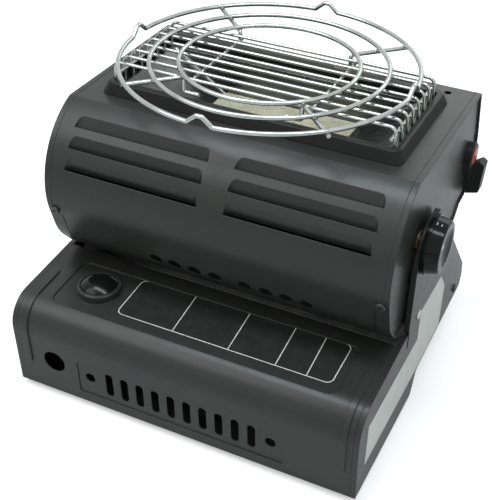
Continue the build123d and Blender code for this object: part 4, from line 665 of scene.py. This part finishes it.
def set_world():
    """A plain light on the object; the camera, gloss and glass see the world as white."""
    world = bpy.data.worlds.new("studio")
    bpy.context.scene.world = world
    world.use_nodes = True
    tree = world.node_tree
    tree.nodes.clear()
    out = add(tree, "ShaderNodeOutputWorld")
    plain = add(tree, "ShaderNodeBackground", in_Color=WHITE, in_Strength=WORLD_ON_OBJECT)
    seen = add(tree, "ShaderNodeBackground", in_Color=WHITE, in_Strength=WORLD_SHOWN)
    rays = add(tree, "ShaderNodeLightPath").outputs
    camera_or_gloss = larger(tree, rays["Is Camera Ray"], rays["Is Glossy Ray"])
    shown = larger(tree, camera_or_gloss, rays["Is Transmission Ray"])
    mix = add(tree, "ShaderNodeMixShader")
    link(tree, shown, mix.inputs["Fac"])
    link(tree, plain.outputs["Background"], mix.inputs[1])
    link(tree, seen.outputs["Background"], mix.inputs[2])
    link(tree, mix.outputs["Shader"], out.inputs["Surface"])


def set_lamps():
    for name, place, aim, size, power, colour in LAMPS:
        data = bpy.data.lights.new(name, "AREA")
        data.shape = "RECTANGLE"
        data.size, data.size_y = size
        data.energy = power
        data.color = colour
        lamp = bpy.data.objects.new(name, data)
        lamp.location = place
        way = Vector(aim) - Vector(place)
        lamp.rotation_euler = way.to_track_quat("-Z", "Y").to_euler()
        show(lamp)


def set_floor():
    """A pale floor, lifted towards white for the camera only, so that it keeps the shadow."""
    mesh = bpy.data.meshes.new("floor")
    bm = bmesh.new()
    bmesh.ops.create_grid(bm, x_segments=1, y_segments=1, size=FLOOR_SIZE)
    bm.to_mesh(mesh)
    bm.free()
    floor = bpy.data.objects.new("floor", mesh)
    show(floor)
    material, tree, shader = new_material("floor")
    shader.inputs["Base Color"].default_value = FLOOR_COLOUR
    shader.inputs["Roughness"].default_value = FLOOR_ROUGHNESS
    shader.inputs["Specular IOR Level"].default_value = 0.0
    shader.inputs["Emission Color"].default_value = WHITE
    path = add(tree, "ShaderNodeLightPath")
    glow = add(tree, "ShaderNodeMath", operation="MULTIPLY")
    link(tree, path.outputs["Is Camera Ray"], glow.inputs[0])
    glow.inputs[1].default_value = FLOOR_GLOW
    link(tree, glow.outputs["Value"], shader.inputs["Emission Strength"])
    mesh.materials.append(material)


# ---- camera: the photograph's viewpoint ----
CAMERA_TARGET = at(9.98, 97.85, 112.69)
CAMERA_DISTANCE = 0.8058
CAMERA_AZIMUTH = math.radians(24.71)
CAMERA_ELEVATION = math.radians(34.84)
CAMERA_ROLL = math.radians(1.61)
CAMERA_LENS = 76.14
SENSOR_WIDTH = 36.0
CLIP_START = 0.01


def set_camera():
    data = bpy.data.cameras.new("camera")
    data.sensor_width = SENSOR_WIDTH
    data.lens = CAMERA_LENS
    data.clip_start = CLIP_START
    camera = bpy.data.objects.new("camera", data)
    flat = math.cos(CAMERA_ELEVATION)
    away = Vector((
        math.sin(CAMERA_AZIMUTH) * flat,
        -math.cos(CAMERA_AZIMUTH) * flat,
        math.sin(CAMERA_ELEVATION),
    ))
    forward = -away
    right = forward.cross(Vector((0, 0, 1))).normalized()
    up = right.cross(forward)
    turned_right = right * math.cos(CAMERA_ROLL) + up * math.sin(CAMERA_ROLL)
    turned_up = up * math.cos(CAMERA_ROLL) - right * math.sin(CAMERA_ROLL)
    axes = Matrix((turned_right, turned_up, away)).transposed()
    place = Matrix.Translation(CAMERA_TARGET + away * CAMERA_DISTANCE)
    camera.matrix_world = place @ axes.to_4x4()
    show(camera)
    bpy.context.scene.camera = camera


def main():
    bpy.context.scene.view_settings.view_transform = "Standard"
    dress_nodes()
    set_world()
    set_floor()
    drum_seams()
    deck_panel()
    side_label()
    notch_shade_sheet()
    wire_welds()
    knob_marks()
    button_spring()
    set_lamps()
    set_camera()


main()
